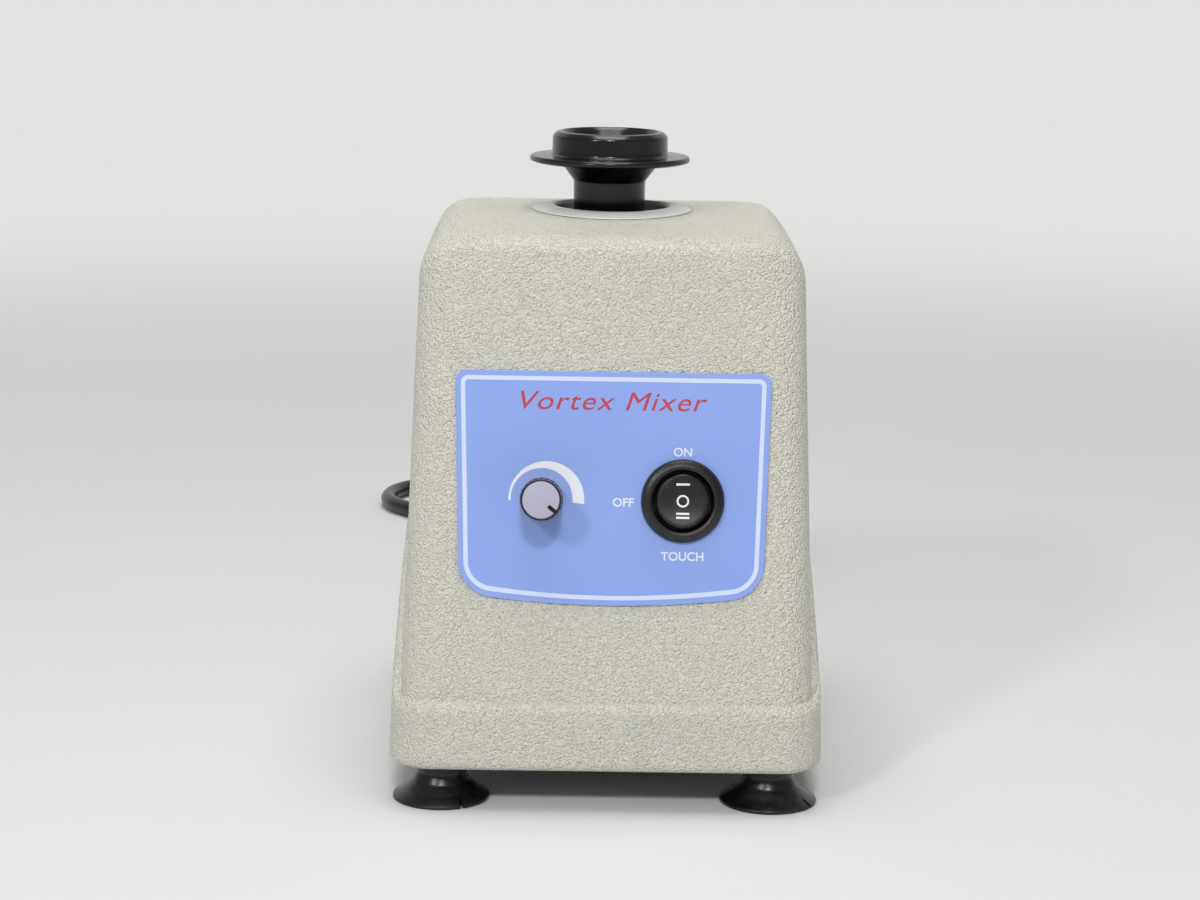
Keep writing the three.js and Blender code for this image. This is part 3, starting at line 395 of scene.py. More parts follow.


# %% [markdown]
# The mains lead is a flexible sheathed cord, 1.8 m long and 6.2 mm thick. It leaves the rear wall
# through a strain relief, droops to the bench, runs out in one loose bend, comes back and is wound
# into a round coil behind the housing. The loose stretch is a listed route, smoothed as a
# centripetal Catmull-Rom curve. The coil is worked out: three turns in along the bench, a step up,
# and three turns out over them.

# %% The cord's route
CORD_R = 3.1 * MM
coil_low, coil_high = box("cord_coil")
coil_at = (coil_low + coil_high) / 2
BENCH_ROW = 3.35 * MM  # centre height of a cord that lies on the bench
EXIT_LEAN = math.radians(8)
EXIT_AT = np.array([-34, 79.81, 44]) * MM
EXIT_OUT = np.array([0, math.cos(EXIT_LEAN), math.sin(EXIT_LEAN)])
RELIEF_OUT = 27 * MM
LOOSE_ROUTE = np.array([
    [-34, 118, 49.35], [-34.5, 131, 48.2], [-35.6, 144, 42.6], [-37.2, 156, 33], [-39.4, 168, 21.5],
    [-42.2, 180.5, 11.2], [-45.6, 195, 4.8], [-49.2, 212, 3.35], [-52.2, 232, 3.35],
    [-54.4, 252, 3.35], [-58.6, 270, 3.35], [-66.2, 284.6, 3.35], [-75.4, 294.2, 3.35],
    [-83, 304.6, 3.35], [-86.2, 317, 3.35], [-84, 329.4, 3.35], [-76.8, 339.6, 3.35],
    [-64.8, 344.4, 3.35], [-52, 341.4, 3.35], [-41.6, 331.6, 3.35], [-34.4, 317, 3.35],
    [-30.4, 298, 3.35], [-28.8, 275, 3.35], [-29.8, 250, 3.35], [-33, 225, 3.35],
]) * MM


def smooth_route(points, per_span=12):
    """The centripetal Catmull-Rom curve through the points: knots stand apart by the root of the distance
    between points, and each span is the usual pyramid of straight blends between four neighbours."""
    padded = np.vstack([2 * points[0] - points[1], points, 2 * points[-1] - points[-2]])
    knots = np.concatenate([[0], np.cumsum(np.linalg.norm(np.diff(padded, axis=0), axis=1) ** 0.5)])
    spans = []
    for k in range(1, len(padded) - 2):
        t0, t1, t2, t3 = knots[k - 1:k + 3]
        p0, p1, p2, p3 = padded[k - 1:k + 3]
        t = np.linspace(t1, t2, per_span, endpoint=False)[:, None]
        a1 = ((t1 - t) * p0 + (t - t0) * p1) / (t1 - t0)
        a2 = ((t2 - t) * p1 + (t - t1) * p2) / (t2 - t1)
        a3 = ((t3 - t) * p2 + (t - t2) * p3) / (t3 - t2)
        b1 = ((t2 - t) * a1 + (t - t0) * a2) / (t2 - t0)
        b2 = ((t3 - t) * a2 + (t - t1) * a3) / (t3 - t1)
        spans.append(((t2 - t) * b1 + (t - t1) * b2) / (t2 - t1))
    return np.vstack([*spans, points[-1:]])


def ease(x):
    """0 before 0, 1 after 1, and smooth between."""
    x = np.clip(x, 0, 1)
    return x * x * (3 - 2 * x)


# %% The coil's turns
TURN_OUT = 42.7 * MM  # centre line of the outermost turn
TURN_IN = 23.3 * MM
TURNS_A_LAYER = 3.1
JOIN_ANGLE = math.radians(165)
LEAVE_ANGLE = math.radians(355)
COIL_TURNS = (LEAVE_ANGLE - JOIN_ANGLE) / (2 * math.pi) + 6
LAYER_UP = 6.3 * MM
# The centre line of a cord that lies against the coil's outside.
TOUCH_R = (coil_high - coil_low)[0] / 2 + CORD_R + 0.3 * MM


def coil_route(count=420):
    """Angle grows evenly. The radius goes in by an even spiral, waits while the cord climbs one layer,
    and comes out again; it eases in from, and out to, a cord that touches the coil's outside."""
    turn = np.linspace(0, COIL_TURNS, count)
    inward = TURN_OUT + (TURN_IN - TURN_OUT) * turn / TURNS_A_LAYER
    outward = TURN_OUT + (TURN_IN - TURN_OUT) * (COIL_TURNS - turn) / TURNS_A_LAYER
    radius = np.maximum(np.maximum(inward, outward), TURN_IN)
    radius += (TOUCH_R - TURN_OUT) * (1 - ease(turn / 0.22)) + (TOUCH_R - TURN_OUT) * ease(
        (turn - COIL_TURNS + 0.22) / 0.22)
    angle = JOIN_ANGLE + 2 * math.pi * turn
    height = BENCH_ROW + LAYER_UP * ease((turn - COIL_TURNS / 2 + 0.16) / 0.32)
    height += (lead_height - BENCH_ROW - LAYER_UP) * ease((turn - COIL_TURNS + 0.22) / 0.22)
    return np.stack([
        coil_at[0] + radius * np.cos(angle), coil_at[1] + radius * np.sin(angle), height], axis=1)


lead_low, lead_high = box("plug_lead")
lead_height = (lead_low[2] + lead_high[2]) / 2
loose = smooth_route(np.vstack([EXIT_AT + EXIT_OUT * (RELIEF_OUT - 4 * MM), LOOSE_ROUTE, coil_route()[:1]]))
lead_end = np.array([(lead_low[0] + lead_high[0]) / 2, lead_high[1] + 3 * MM, lead_height])
cord_path = np.vstack([loose[:-1], coil_route(), lead_end])


def evenly(path, step):
    """The path again, with points about step apart along it."""
    along = np.concatenate([[0], np.cumsum(np.linalg.norm(np.diff(path, axis=0), axis=1))])
    at = np.linspace(0, along[-1], int(along[-1] / step) + 1)
    return np.stack([np.interp(at, along, path[:, k]) for k in range(3)], axis=1)


cord_path = evenly(cord_path, 2.4 * MM)
cord_length = float(np.linalg.norm(np.diff(cord_path, axis=0), axis=1).sum())
print("cord length", round(cord_length, 3), "m in", len(cord_path), "points")


# %% The cord as a tube
def tube_points(path, radius, sides):
    """A ring of the given radius at each point of the path, square to it. The ring's first axis is level
    and the second points up from it, which works for every path that is nowhere upright."""
    ahead = np.gradient(path, axis=0)
    ahead /= np.linalg.norm(ahead, axis=1)[:, None]
    across = np.cross(ahead, [0, 0, 1.0])
    across /= np.linalg.norm(across, axis=1)[:, None]
    other = np.cross(ahead, across)
    angle = circle(sides)[None, :, None]
    return path[:, None] + radius * (np.cos(angle) * across[:, None] + np.sin(angle) * other[:, None])


def capped(points):
    """The grid with a single-point row before and after it, for a tube with closed ends."""
    first = np.repeat(points[0].mean(0)[None, None], points.shape[1], axis=1)
    last = np.repeat(points[-1].mean(0)[None, None], points.shape[1], axis=1)
    return np.concatenate([first, points, last])


sheath = finish("cord_sheath", (22, 22, 24), (15, 15, 17), rough=(0.3, 0.14), scales=(60, 2600), bump=0.02,
                smears=0.1)
cord = surface("mains_cord", capped(tube_points(cord_path, CORD_R, 18)), poles=True)
dress(cord, sheath, "chassis", ["power_cord", "cord_coil", "plug_lead"])
print("cord tube with", len(cord.data.polygons), "faces")

# %% [markdown]
# The strain relief is a moulded rubber sleeve: a flange against the rear wall, then a taper with
# grooves cut round it, which let it bend evenly. Its profile is the taper with a smooth groove
# subtracted at even steps.


# %% Strain relief
EXIT_AXES = np.array([[1, 0, 0], np.cross(EXIT_OUT, [1, 0, 0]), EXIT_OUT])
relief_flange = rounded(np.array([
    [0, -9, 0], [8.4, -9, 0.6], [8.4, -6, 0.3], [5.9, -6, 0.2], [5.9, 0.35, 0], [7.9, 0.35, 0.3],
    [7.9, 2.4, 0.6], [6.6, 2.9, 0.4], [5.9, 3.4, 0],
]) * MM)
taper_z = np.linspace(3.6, 26.2, 110)
groove = 0.5 * (1 - np.cos(2 * math.pi * (taper_z - 3.6) / 3.2))
taper_r = 5.7 - (taper_z - 3.6) / 23.4 * 1.5 - 0.75 * groove ** 3 * ease((26.0 - taper_z) / 2)
relief_taper = np.stack([taper_r, taper_z], axis=1) * MM
relief_tip = np.array([[3.9, 26.8], [3.3, 26.95], [0, 26.95]]) * MM
relief_profile = np.vstack([relief_flange, relief_taper, relief_tip])
relief_at = placed(around(relief_profile, 48), EXIT_AXES, EXIT_AT)
relief = surface("strain_relief_sleeve", relief_at, poles=True)
moulded_rubber = finish("moulded_rubber", (26, 26, 27), (18, 18, 19), rough=(0.55, 0.18),
                        scales=(80, 2200), bump=0.05, specks=0.1, smears=0.2)
dress(relief, moulded_rubber, "chassis", ["strain_relief"])
print("strain relief", round(RELIEF_OUT / MM), "mm long")

# %% [markdown]
# The plug is one block of hard vinyl moulded round its blades. Its cross-section is a superellipse,
# which is a rectangle with soft corners, and its half width and half height grow from the cord's boot
# to the grip. Shallow ribs across the grip stop the fingers from slipping.


# %% Plug
RING_STEP, RING_DEEP = 0.052, 0.35 * MM  # grooves of the boot; steps are shares of the plug's length
RIB_START, RIB_STEP, RIB_DEEP = 0.56, 0.045, 0.5 * MM
RIB_MIDDLE, RIB_REACH = 0.717, 0.157


def plug_points(low, high, sections=150, columns=72):
    """Sections across the plug's length: |x/a|^n + |z/b|^n = 1, where a, b and n grow from the round boot
    to the grip. Ribs are shallow cosine waves over the grip's flat sides."""
    share = np.linspace(0, 1, sections)
    boot = 0.385  # share of the length that is the boot
    grow = ease((share - boot * 0.82) / 0.12)
    face = np.sqrt(np.clip(1 - (np.clip(share - 0.972, 0, 1) / 0.028) ** 2 * 0.16, 0, 1))
    half = (high - low) / 2
    ring_wave = (0.5 - 0.5 * np.cos(2 * math.pi * share / RING_STEP)) ** 3
    ring = RING_DEEP * ring_wave * (share < boot * 0.8)
    radius = CORD_R + 1.1 * MM + 1.7 * MM * share / boot - ring
    a = radius * (1 - grow) + (half[0] - 0.2 * MM) * face * grow
    b = radius * (1 - grow) + (half[2] - 0.2 * MM) * face * grow
    power = 2 + 2.2 * grow
    rib_wave = 0.5 - 0.5 * np.cos(2 * math.pi * (share - RIB_START) / RIB_STEP)
    ribs = RIB_DEEP * rib_wave * (abs(share - RIB_MIDDLE) < RIB_REACH)
    angle = circle(columns)
    cos, sin = np.cos(angle), np.sin(angle)
    round_off = (abs(cos) ** power[:, None] + abs(sin) ** power[:, None]) ** (-1 / power[:, None])
    x = (a - ribs)[:, None] * round_off * cos
    z = b[:, None] * round_off * sin
    middle = (low + high) / 2
    y = low[1] + (high[1] - low[1]) * share
    return np.stack([middle[0] - x, y[:, None] + 0 * x, middle[2] + z], axis=-1)


plug_low, plug_high = box("plug_body")
plug = surface("plug_moulding", capped(plug_points(plug_low, plug_high)), poles=True)
vinyl = finish("plug_vinyl", (24, 24, 26), (17, 17, 19), rough=(0.42, 0.15), scales=(50, 2400), bump=0.06,
               specks=0.1, smears=0.15)
dress(plug, vinyl, "chassis", ["plug_body"])
print("plug", np.round((plug_high - plug_low) / MM, 1).tolist(), "mm")


# %% [markdown]
# The turns of a stored lead are held by a strap of hook-and-loop tape. It is a band that follows a
# rounded rectangle round the coil's cross-section, so it is worked out in the plane of that section
# and given its width along the turns.


# %% Strap round the coil
STRAP_WIDE = 9 * MM
STRAP_ANGLE = math.radians(262)


STRAP_POWER = 5  # how square its section is
STRAP_SLACK = 0.35 * MM
TAPE_THICK, TAPE_THICK_BELOW = 0.7 * MM, 0.08 * MM


def strap_points(columns=120):
    """Rows: inner and outer edges at both sides of the tape. Columns go round |u/a|^n + |v/b|^n = 1, where
    u is along the coil's radius and v is up; the outer face stands a tape's thickness further out."""
    angle = circle(columns)
    round_off = (abs(np.cos(angle)) ** STRAP_POWER + abs(np.sin(angle)) ** STRAP_POWER) ** (-1 / STRAP_POWER)
    low, high = 0.14 * MM, coil_high[2] + STRAP_SLACK
    half = (TURN_OUT - TURN_IN) / 2 + CORD_R + STRAP_SLACK
    ring = (TURN_OUT + TURN_IN) / 2
    rows = []
    for side, thick in ((-1, 0), (-1, 1), (-0.94, 1.25), (0.94, 1.25), (1, 1), (1, 0)):
        lift = thick * np.where(np.sin(angle) > -0.5, TAPE_THICK, TAPE_THICK_BELOW)
        u = (half + lift) * round_off * np.cos(angle)
        v = (low + high) / 2 + ((high - low) / 2 + lift) * round_off * np.sin(angle)
        along = side * STRAP_WIDE / 2
        out = ring + u
        x = coil_at[0] + out * math.cos(STRAP_ANGLE) - along * math.sin(STRAP_ANGLE)
        y = coil_at[1] + out * math.sin(STRAP_ANGLE) + along * math.cos(STRAP_ANGLE)
        rows.append(np.stack([x, y, v], axis=1))
    return np.array(rows)


strap = surface("cord_strap", strap_points(), back_to_start=True)
tape = finish("hook_and_loop_tape", (38, 38, 41), (22, 22, 24), rough=(0.85, 0.1), scales=(120, 3200),
              bump=0.12, smears=0.2)
dress(strap, tape, "chassis")
print("strap", round(STRAP_WIDE / MM), "mm wide")

# %% [markdown]
# The housing is a casting. Seen from above it is a rectangle with rounded corners, and every height
# has its own such rectangle: the sides draw in a little, the front leans back by eleven degrees and the
# rear leans forward by eight. So an outline is written once as weights. Each point of it is a fixed mix
# of five lengths, and the whole shell is those weights times the lengths at each height.

# %% Housing sizes
FRONT_Y, REAR_Y = -79 * MM, 81.5 * MM  # plinth's front and rear
PLINTH_HALF = 59.6 * MM
BASE_Z, LEDGE_Z, TOP_Z = 12.2 * MM, 32 * MM, 158.6 * MM
STEP = 2.5 * MM  # how far the plinth and the skirt stand proud
WALL = 3.2 * MM
FRONT_LEAN, REAR_LEAN = math.radians(11), math.radians(8)
SIDE_DRAFT = 0.03
FRONT_CORNER, REAR_CORNER = 10 * MM, 14 * MM
TOP_ROUND = np.array([8, 12, 16]) * MM  # front, side and rear shoulders, across
TOP_TALL = np.array([8, 15.5, 18]) * MM  # and upwards
CROWN_R = 500 * MM
SKIRT_START, SKIRT_BEND, SKIRT_FLAT, SKIRT_TOP = 10.5 * MM, 44 * MM, 95 * MM, 77 * MM
COLLAR_SEAT_R = 18.5 * MM
STRAIGHT, CORNER, SIDE = 14, 14, 36  # steps along a quarter of the outline


def outline_weights():
    """For the right half, column by column: x = half·w0 + front radius·w1 + rear radius·w2, and
    y = front·w3 + rear·w4 + front radius·w5 + rear radius·w6. The left half is its mirror image."""
    line = np.arange(STRAIGHT) / STRAIGHT
    arc = np.radians(np.linspace(0, 90, CORNER + 1))
    side = (np.arange(1, SIDE) / SIDE) ** 1.3
    none, one = np.zeros_like, np.ones_like
    front = [line, -line, none(line), one(line), none(line), none(line), none(line)]
    first = [one(arc), np.sin(arc) - 1, none(arc), one(arc), none(arc), 1 - np.cos(arc), none(arc)]
    flank = [one(side), none(side), none(side), 1 - side, side, 1 - side, -side]
    last = [one(arc), none(arc), np.cos(arc) - 1, none(arc), one(arc), none(arc), np.sin(arc) - 1]
    back = line[::-1]
    rear = [back, none(back), -back, none(back), one(back), none(back), none(back)]
    right = np.concatenate([front, first, flank, last, rear], axis=1)
    left = right[:, 1:-1][:, ::-1].copy()
    left[:3] *= -1
    return np.concatenate([right, left], axis=1)


WEIGHTS = outline_weights()
COLUMNS = WEIGHTS.shape[1]


def outline(half, front, rear, front_r, rear_r):
    """x and y of the outline; each length may be one number, or one for each point."""
    w = WEIGHTS
    x = half * w[0] + front_r * w[1] + rear_r * w[2]
    y = front * w[3] + rear * w[4] + front_r * w[5] + rear_r * w[6]
    return x, y


def column(z, grow, corner_grow=None):
    """The outline at height z, moved outwards by grow: one length, or the front's, the sides' and the
    rear's. Its corners grow as much, or by corner_grow, but they never get sharp."""
    up = np.maximum(0, z - LEDGE_Z)
    front, side, rear = np.broadcast_to(grow, 3)
    corner_grow = side if corner_grow is None else corner_grow
    return outline(
        PLINTH_HALF - STEP - SIDE_DRAFT * (z - LEDGE_Z) + side,
        FRONT_Y + STEP + up * math.tan(FRONT_LEAN) - front,
        REAR_Y - STEP - up * math.tan(REAR_LEAN) + rear,
        max(FRONT_CORNER + corner_grow, 6 * MM), max(REAR_CORNER + corner_grow, 6 * MM))


def row(z, grow):
    """One row of the shell: z is one height, or one for each column."""
    x, y = column(z, grow)
    return np.stack([x, y, z + 0 * x], axis=1)


print("outline with", COLUMNS, "points")

# %% [markdown]
# The plinth's edge is level along the front. Behind that it sweeps up the sides in one curve to a
# skirt more than twice as high. The curve is a quadratic arc between two lines, so its height at a
# distance behind the front comes from solving one quadratic.


# %% Skirt and shoulders
def skirt_height(back):
    """The ledge's height near the front, the skirt's at the rear, and between them the quadratic curve
    whose control point is SKIRT_BEND behind the front, a millimetre under the skirt's height."""
    a = SKIRT_START - 2 * SKIRT_BEND + SKIRT_FLAT
    b = 2 * (SKIRT_BEND - SKIRT_START)
    c = SKIRT_START - np.clip(back, SKIRT_START, SKIRT_FLAT)
    t = (-b + np.sqrt(b * b - 4 * a * c)) / (2 * a)
    return LEDGE_Z * (1 - t) ** 2 + 2 * (SKIRT_TOP - 1 * MM) * t * (1 - t) + SKIRT_TOP * t ** 2


# How far back a column stands depends on its height, because the front leans; eight rounds settle both.
skirt = np.full(COLUMNS, LEDGE_Z)
for _ in range(8):
    skirt = skirt_height(column(skirt, 0)[1] - FRONT_Y)


def crown_drop(y):
    """The top is a shallow arch from front to rear."""
    return y * y / (2 * CROWN_R)


def round_the_corner(values):
    """One value for each column: the front's, the side's or the rear's, blended smoothly at the corners."""
    k = np.arange(COLUMNS)
    k = np.minimum(k, COLUMNS - k)
    front, side, rear = values
    at_side = front + (side - front) * ease((k - STRAIGHT) / CORNER)
    return at_side + (rear - side) * ease((k - STRAIGHT - CORNER - SIDE) / CORNER)


def shoulder(share, inward):
    """The rounded shoulder, turned by a share of its quarter, inward from the skin. The front, the sides
    and the rear each turn in an ellipse of their own, which begins where it touches the leaning wall. Each
    draws the outline in by its own length, and the heights blend round the corners."""
    lean = np.array([FRONT_LEAN, math.atan(SIDE_DRAFT), REAR_LEAN])
    turn = lean + (math.pi / 2 - lean) * share
    inset = TOP_ROUND * (np.cos(lean) - np.cos(turn)) + inward * np.cos(turn)
    start = TOP_Z - round_the_corner(TOP_TALL * (1 - np.sin(lean)))
    x, y = column(start, -inset, -inward)
    z = TOP_Z - round_the_corner(TOP_TALL * (1 - np.sin(turn)) + inward * np.sin(turn))
    return np.stack([x, y, z - crown_drop(y) * share], axis=1)


def towards_hole(edge, share, radius):
    """The edge drawn towards a circle on the motor's axis, keeping to the arched top."""
    angle = np.arctan2(edge[:, 1], edge[:, 0])
    x = edge[:, 0] + (radius * np.cos(angle) - edge[:, 0]) * share
    y = edge[:, 1] + (radius * np.sin(angle) - edge[:, 1]) * share
    return np.stack([x, y, edge[:, 2] + crown_drop(edge[:, 1]) - crown_drop(y)], axis=1)


print("skirt from", round(skirt.min() / MM, 1), "to", round(skirt.max() / MM, 1), "mm high")


# %% The housing's shell
BASE_ROUND = 2.8 * MM
EDGE_ROUND = 1.9 * MM  # outer edge of the ledge and skirt, inwards
EDGE_DROP = 3.2 * MM  # and downwards
FILLET = 0.4 * MM  # where the ledge meets the column
LEDGE_SINK = 1.3 * MM  # the ledge's crease is this far under the line of the skirt


def shell_points():
    """Rows from the rounded lower edge up the outside, over the ledge's edge and fillet, up the column,
    over the shoulder to the collar's hole, and back down the inside of the wall."""
    quarter = np.radians(np.linspace(0, 90, 7))
    low = BASE_Z - 0.8 * MM
    rows = [row(low + BASE_ROUND * (1 - c), STEP - BASE_ROUND * (1 - s)) for c, s in
            zip(np.cos(quarter), np.sin(quarter))]
    under = low + BASE_ROUND
    edge = skirt - LEDGE_SINK
    rows += [row(under + (edge - EDGE_DROP - under) * share, STEP) for share in np.linspace(0.08, 1, 12)]
    rows += [row(edge - EDGE_DROP * (1 - s), STEP - EDGE_ROUND * (1 - c)) for c, s in
             zip(np.cos(quarter[1:]), np.sin(quarter[1:]))]
    rows += [row(edge + FILLET * (1 - c), FILLET * (1 - s)) for c, s in
             zip(np.cos(quarter), np.sin(quarter))]
    start, crease = shoulder(0, 0)[:, 2], edge + FILLET
    rows += [row(crease + (start - crease) * share, 0) for share in np.linspace(0, 1, 17)[1:-1]]
    rows += [shoulder(share, 0) for share in np.linspace(0, 1, 17)]
    outer = rows[-1]
    rows += [towards_hole(outer, share, COLLAR_SEAT_R) for share in np.linspace(0, 1, 13)[1:]]
    inner = shoulder(1, WALL)
    rows += [towards_hole(inner, share, COLLAR_SEAT_R) for share in (1, 0.5)]
    rows += [shoulder(share, WALL) for share in (1, 0.75, 0.5, 0.25, 0)]
    rows += [row(LEDGE_Z, -WALL), row(low, -WALL)]
    return np.array(rows)


housing = surface("housing_casting", shell_points(), back_to_start=True)
print("housing with", len(housing.data.polygons), "faces")

# %% [markdown]
# Three openings go through the wall: for the speed control, for the switch and for the cord. Each is a
# rod taken away by a Boolean modifier, which is applied straight away so that nothing live is left.

# %% Panel and openings
PANEL_AT = np.array([0, FRONT_Y + STEP, LEDGE_Z])
PANEL_UP = np.array([0, math.sin(FRONT_LEAN), math.cos(FRONT_LEAN)])
PANEL_OUT = np.array([0, -math.cos(FRONT_LEAN), math.sin(FRONT_LEAN)])
PANEL_AXES = np.array([[1, 0, 0], PANEL_UP, PANEL_OUT])
CONTROL_UP = 54.8
KNOB_X, SWITCH_X = -18.7, 20


def on_panel(x, up, out=0.0):
    """A point of the leaning front, in millimetres from the middle of its lower edge."""
    return PANEL_AT + PANEL_AXES.T @ (np.array([x, up, out]) * MM)


def rod(radius, low, high, axes, at):
    """A rod in millimetres, used only to cut."""
    corners = [[0, low, 0], [radius, low, 0], [radius, high, 0], [0, high, 0]]
    return turned("cutter", corners, axes, at, columns=64)


def evaluated(made):
    """The mesh that an object shows, with its modifiers or its text worked out."""
    bpy.context.view_layer.update()
    return bpy.data.meshes.new_from_object(made.evaluated_get(bpy.context.evaluated_depsgraph_get()))


def cut(target, cutters, sharp=38):
    """Takes the cutters away from the target, and removes them."""
    for cutter in cutters:
        modifier = target.modifiers.new("cut", "BOOLEAN")
        modifier.operation = "DIFFERENCE"
        modifier.solver = "EXACT"
        modifier.object = cutter
        made = evaluated(target)
        target.modifiers.clear()
        target.data = made
        bpy.data.objects.remove(cutter)
    soften(target.data, sharp)


cut(housing, [
    rod(3.9, -9, 4, PANEL_AXES, on_panel(KNOB_X, CONTROL_UP)),
    rod(10.1, -9, 4, PANEL_AXES, on_panel(SWITCH_X, CONTROL_UP)),
    rod(6.3, -12, 4, EXIT_AXES, EXIT_AT),
])
print("housing after cutting:", len(housing.data.polygons), "faces")

# %% [markdown]
# The casting is painted with a crinkle enamel, which dries into a fine orange-peel skin. It is made
# of two heights: rounded cells a little over half a millimetre across, and a slower swell that makes
# some patches flatter than others. The hollows are painted a little darker, as painted shade that
# stands in for the shadow in them, so the colour follows the height.


# %% Crinkle paint
CELL_SCALE, SWELL_SCALE, DRIFT_SCALE = 1500, 520, 22  # waves a metre, roughly
WARP_SCALE, WARP = 1100, 0.6 * MM  # the cells' edges wander by this much
CRINKLE = 0.75  # millimetres of height
GRIME = {"Speck Scale": 310, "Specks": 0.25, "Smears": 0.04}
GRIME_COLOUR = (118, 112, 100)


def crinkle_paint(name, colour, shade):
    """Cells and swell give a height, which paints shade into the hollows and roughens the paint a little."""
    material, tree, shader = new_material(name)
    cells = tree.nodes.new("ShaderNodeTexVoronoi")
    cells.inputs["Scale"].default_value = CELL_SCALE
    bent = tree.nodes.new("ShaderNodeVectorMath")
    bent.operation = "MULTIPLY_ADD"
    feed(tree, bent.inputs[0], noise(tree, WARP_SCALE, 2.0, 0.5))
    feed(tree, bent.inputs[1], (WARP, WARP, WARP))
    feed(tree, bent.inputs[2], own_place(tree))
    tree.links.new(bent.outputs[0], cells.inputs["Vector"])
    swell = noise(tree, SWELL_SCALE, 3.0, 0.6)
    drift = noise(tree, DRIFT_SCALE, 4.0, 0.6)
    far = cells.outputs["Distance"]
    bumped(tree, shader, scaled(tree, far, -1.0, swell), CRINKLE)
    hollow = scaled(tree, far, 1.6, -0.3, clamp=True)
    # painted shade: the hollows between the cells are drawn darker, as if shadow lay in them
    hollow_shade = scaled(tree, hollow, 0.6)
    share = scaled(tree, drift, 0.4, hollow_shade, clamp=True)
    base = mix_colour(tree, share, linear(colour), linear(shade))
    grimy = mix_colour(tree, shared(tree, DUST, GRIME)["Mask"], base, linear(GRIME_COLOUR))
    tree.links.new(grimy, shader.inputs["Base Color"])
    rough = scaled(tree, hollow, 0.25, 0.25)
    tree.links.new(scaled(tree, drift, 0.1, rough), shader.inputs["Roughness"])
    return material


paint = crinkle_paint("crinkle_enamel", (231, 229, 216), (215, 213, 199))
dress(housing, paint, "chassis", ["housing"])

# %% [markdown]
# A smooth moulded collar trims the hole in the top, and a soft rubber cup stands through it. The cup
# is hollowed like a dish for the tube's end, and its flange keeps spills out of the hole. Both are
# turned shapes, so each is one profile with rounded corners.

# %% Collar and cup
COLLAR_PROFILE = rounded(np.array([
    [16.7, 152.6, 0], [18.2, 152.6, 0.2], [18.2, 158.72, 0.1], [23.3, 158.72, 0.1], [23.2, 159.05, 0.3],
    [19.2, 160.1, 1.5], [17.1, 160.1, 0.5], [16.7, 159.2, 0.4], [16.7, 152.6, 0],
]) * MM)[:-1]


def collar_points():
    """The profile turned round; where it lies on the housing it drops with the arched top."""
    points = around(COLLAR_PROFILE, 160)
    points[..., 2] -= crown_drop(points[..., 1]) * (points[..., 2] > 158 * MM)
    return points


collar = surface("top_collar_ring", collar_points(), back_to_start=True)
collar_plastic = finish("collar_plastic", (217, 218, 213), (209, 210, 205), rough=(0.3, 0.12),
                        scales=(70, 2500), bump=0.01, specks=0.15, smears=0.06)
dress(collar, collar_plastic, "chassis", ["top_collar"])

cup_low, cup_high = box("cup")
CUP_AXIS = np.array([(cup_low + cup_high)[0] / 2, (cup_low + cup_high)[1] / 2, 0])
cup = turned("cup_moulding", [
    [0, 175.3, 0], [6, 175.35, 3], [11.2, 177.6, 4], [13.5, 180.5, 1], [14.3, 181.3, 0.6],
    [15.6, 181.05, 0.8], [16.75, 179.9, 1.2], [16.85, 176, 0], [17.0, 174.35, 1.0], [22.9, 174.2, 0.5],
    [23.4, 173.6, 0.6],
    [23.3, 172.7, 0.5], [21.9, 172.2, 1.5], [13.9, 171.4, 1.2], [10.5, 166.9, 1.5],
    [10.3, 151.5, 0.4], [6.3, 151.5, 0.3], [6.3, 165.8, 0.3], [0, 165.8, 0],
][::-1], at=CUP_AXIS, columns=160, steps=8)
cup_rubber = finish("cup_rubber", (9, 9, 10), (5, 5, 6), rough=(0.2, 0.16), scales=(55, 1900), bump=0.015,
                    specks=0.12, smears=0.12, dust=(96, 94, 90))
dress(cup, cup_rubber, "cup_head", ["cup"])
print("collar and cup with", len(collar.data.polygons) + len(cup.data.polygons), "faces")

# %% [markdown]
# The label is a printed aluminium plate, stuck to the leaning front. Its outline is a rounded
# rectangle whose lower edge bows down. Written as a function of an inset, the same outline also gives
# the pale keyline that runs inside its edge. The ink is a real layer, four hundredths of a millimetre
# thick, because a printed line stands a little proud.

# %% Label plate
LABEL_X = 0.65
LABEL_TOP, LABEL_LOW = 90.0, 28.9
LABEL_HALF_TOP, LABEL_HALF_LOW = 43.5, 41.8
LABEL_BOW = 3.1
LABEL_BACK, LABEL_FACE = 0.3, 0.7
INK = 0.04


def label_outline(inset, edge_steps=40):
    """A closed line of (x, up): four straight sides that meet in rounded corners, all moved in by inset.
    Then up falls by bow·(1 − u²)·(1 − v)³, where u runs across and v up the plate."""
    top, low = LABEL_TOP - inset, LABEL_LOW + inset
    half_top, half_low = LABEL_HALF_TOP - inset, LABEL_HALF_LOW - inset
    big, small = 8.5 - inset, 3.0 - inset * 0.75
    corners = [[0, low, 0], [half_low, low, big], [half_top, top, small], [0, top, 0]]
    right = rounded(corners, steps=10)
    dense = [np.linspace(a, b, edge_steps, endpoint=False) if abs(b[0] - a[0]) > 9 or abs(b[1] - a[1]) > 9
             else a[None] for a, b in zip(right[:-1], right[1:])]
    right = np.vstack([*dense, right[-1:]])
    left = right[1:-1][::-1] * [-1, 1]
    line = np.vstack([right, left])
    u, v = line[:, 0] / half_low, (line[:, 1] - low) / (top - low)
    line[:, 1] -= LABEL_BOW * (1 - np.clip(u, -1, 1) ** 2) * (1 - v) ** 3
    line[:, 0] += LABEL_X
    return line


def raised(lines, heights):
    """Rows of panel points from closed (x, up) lines, each at its height out of the panel."""
    return np.array([placed(np.column_stack([line, np.full(len(line), out)]) * MM, PANEL_AXES, PANEL_AT)
                     for line, out in zip(lines, heights)])


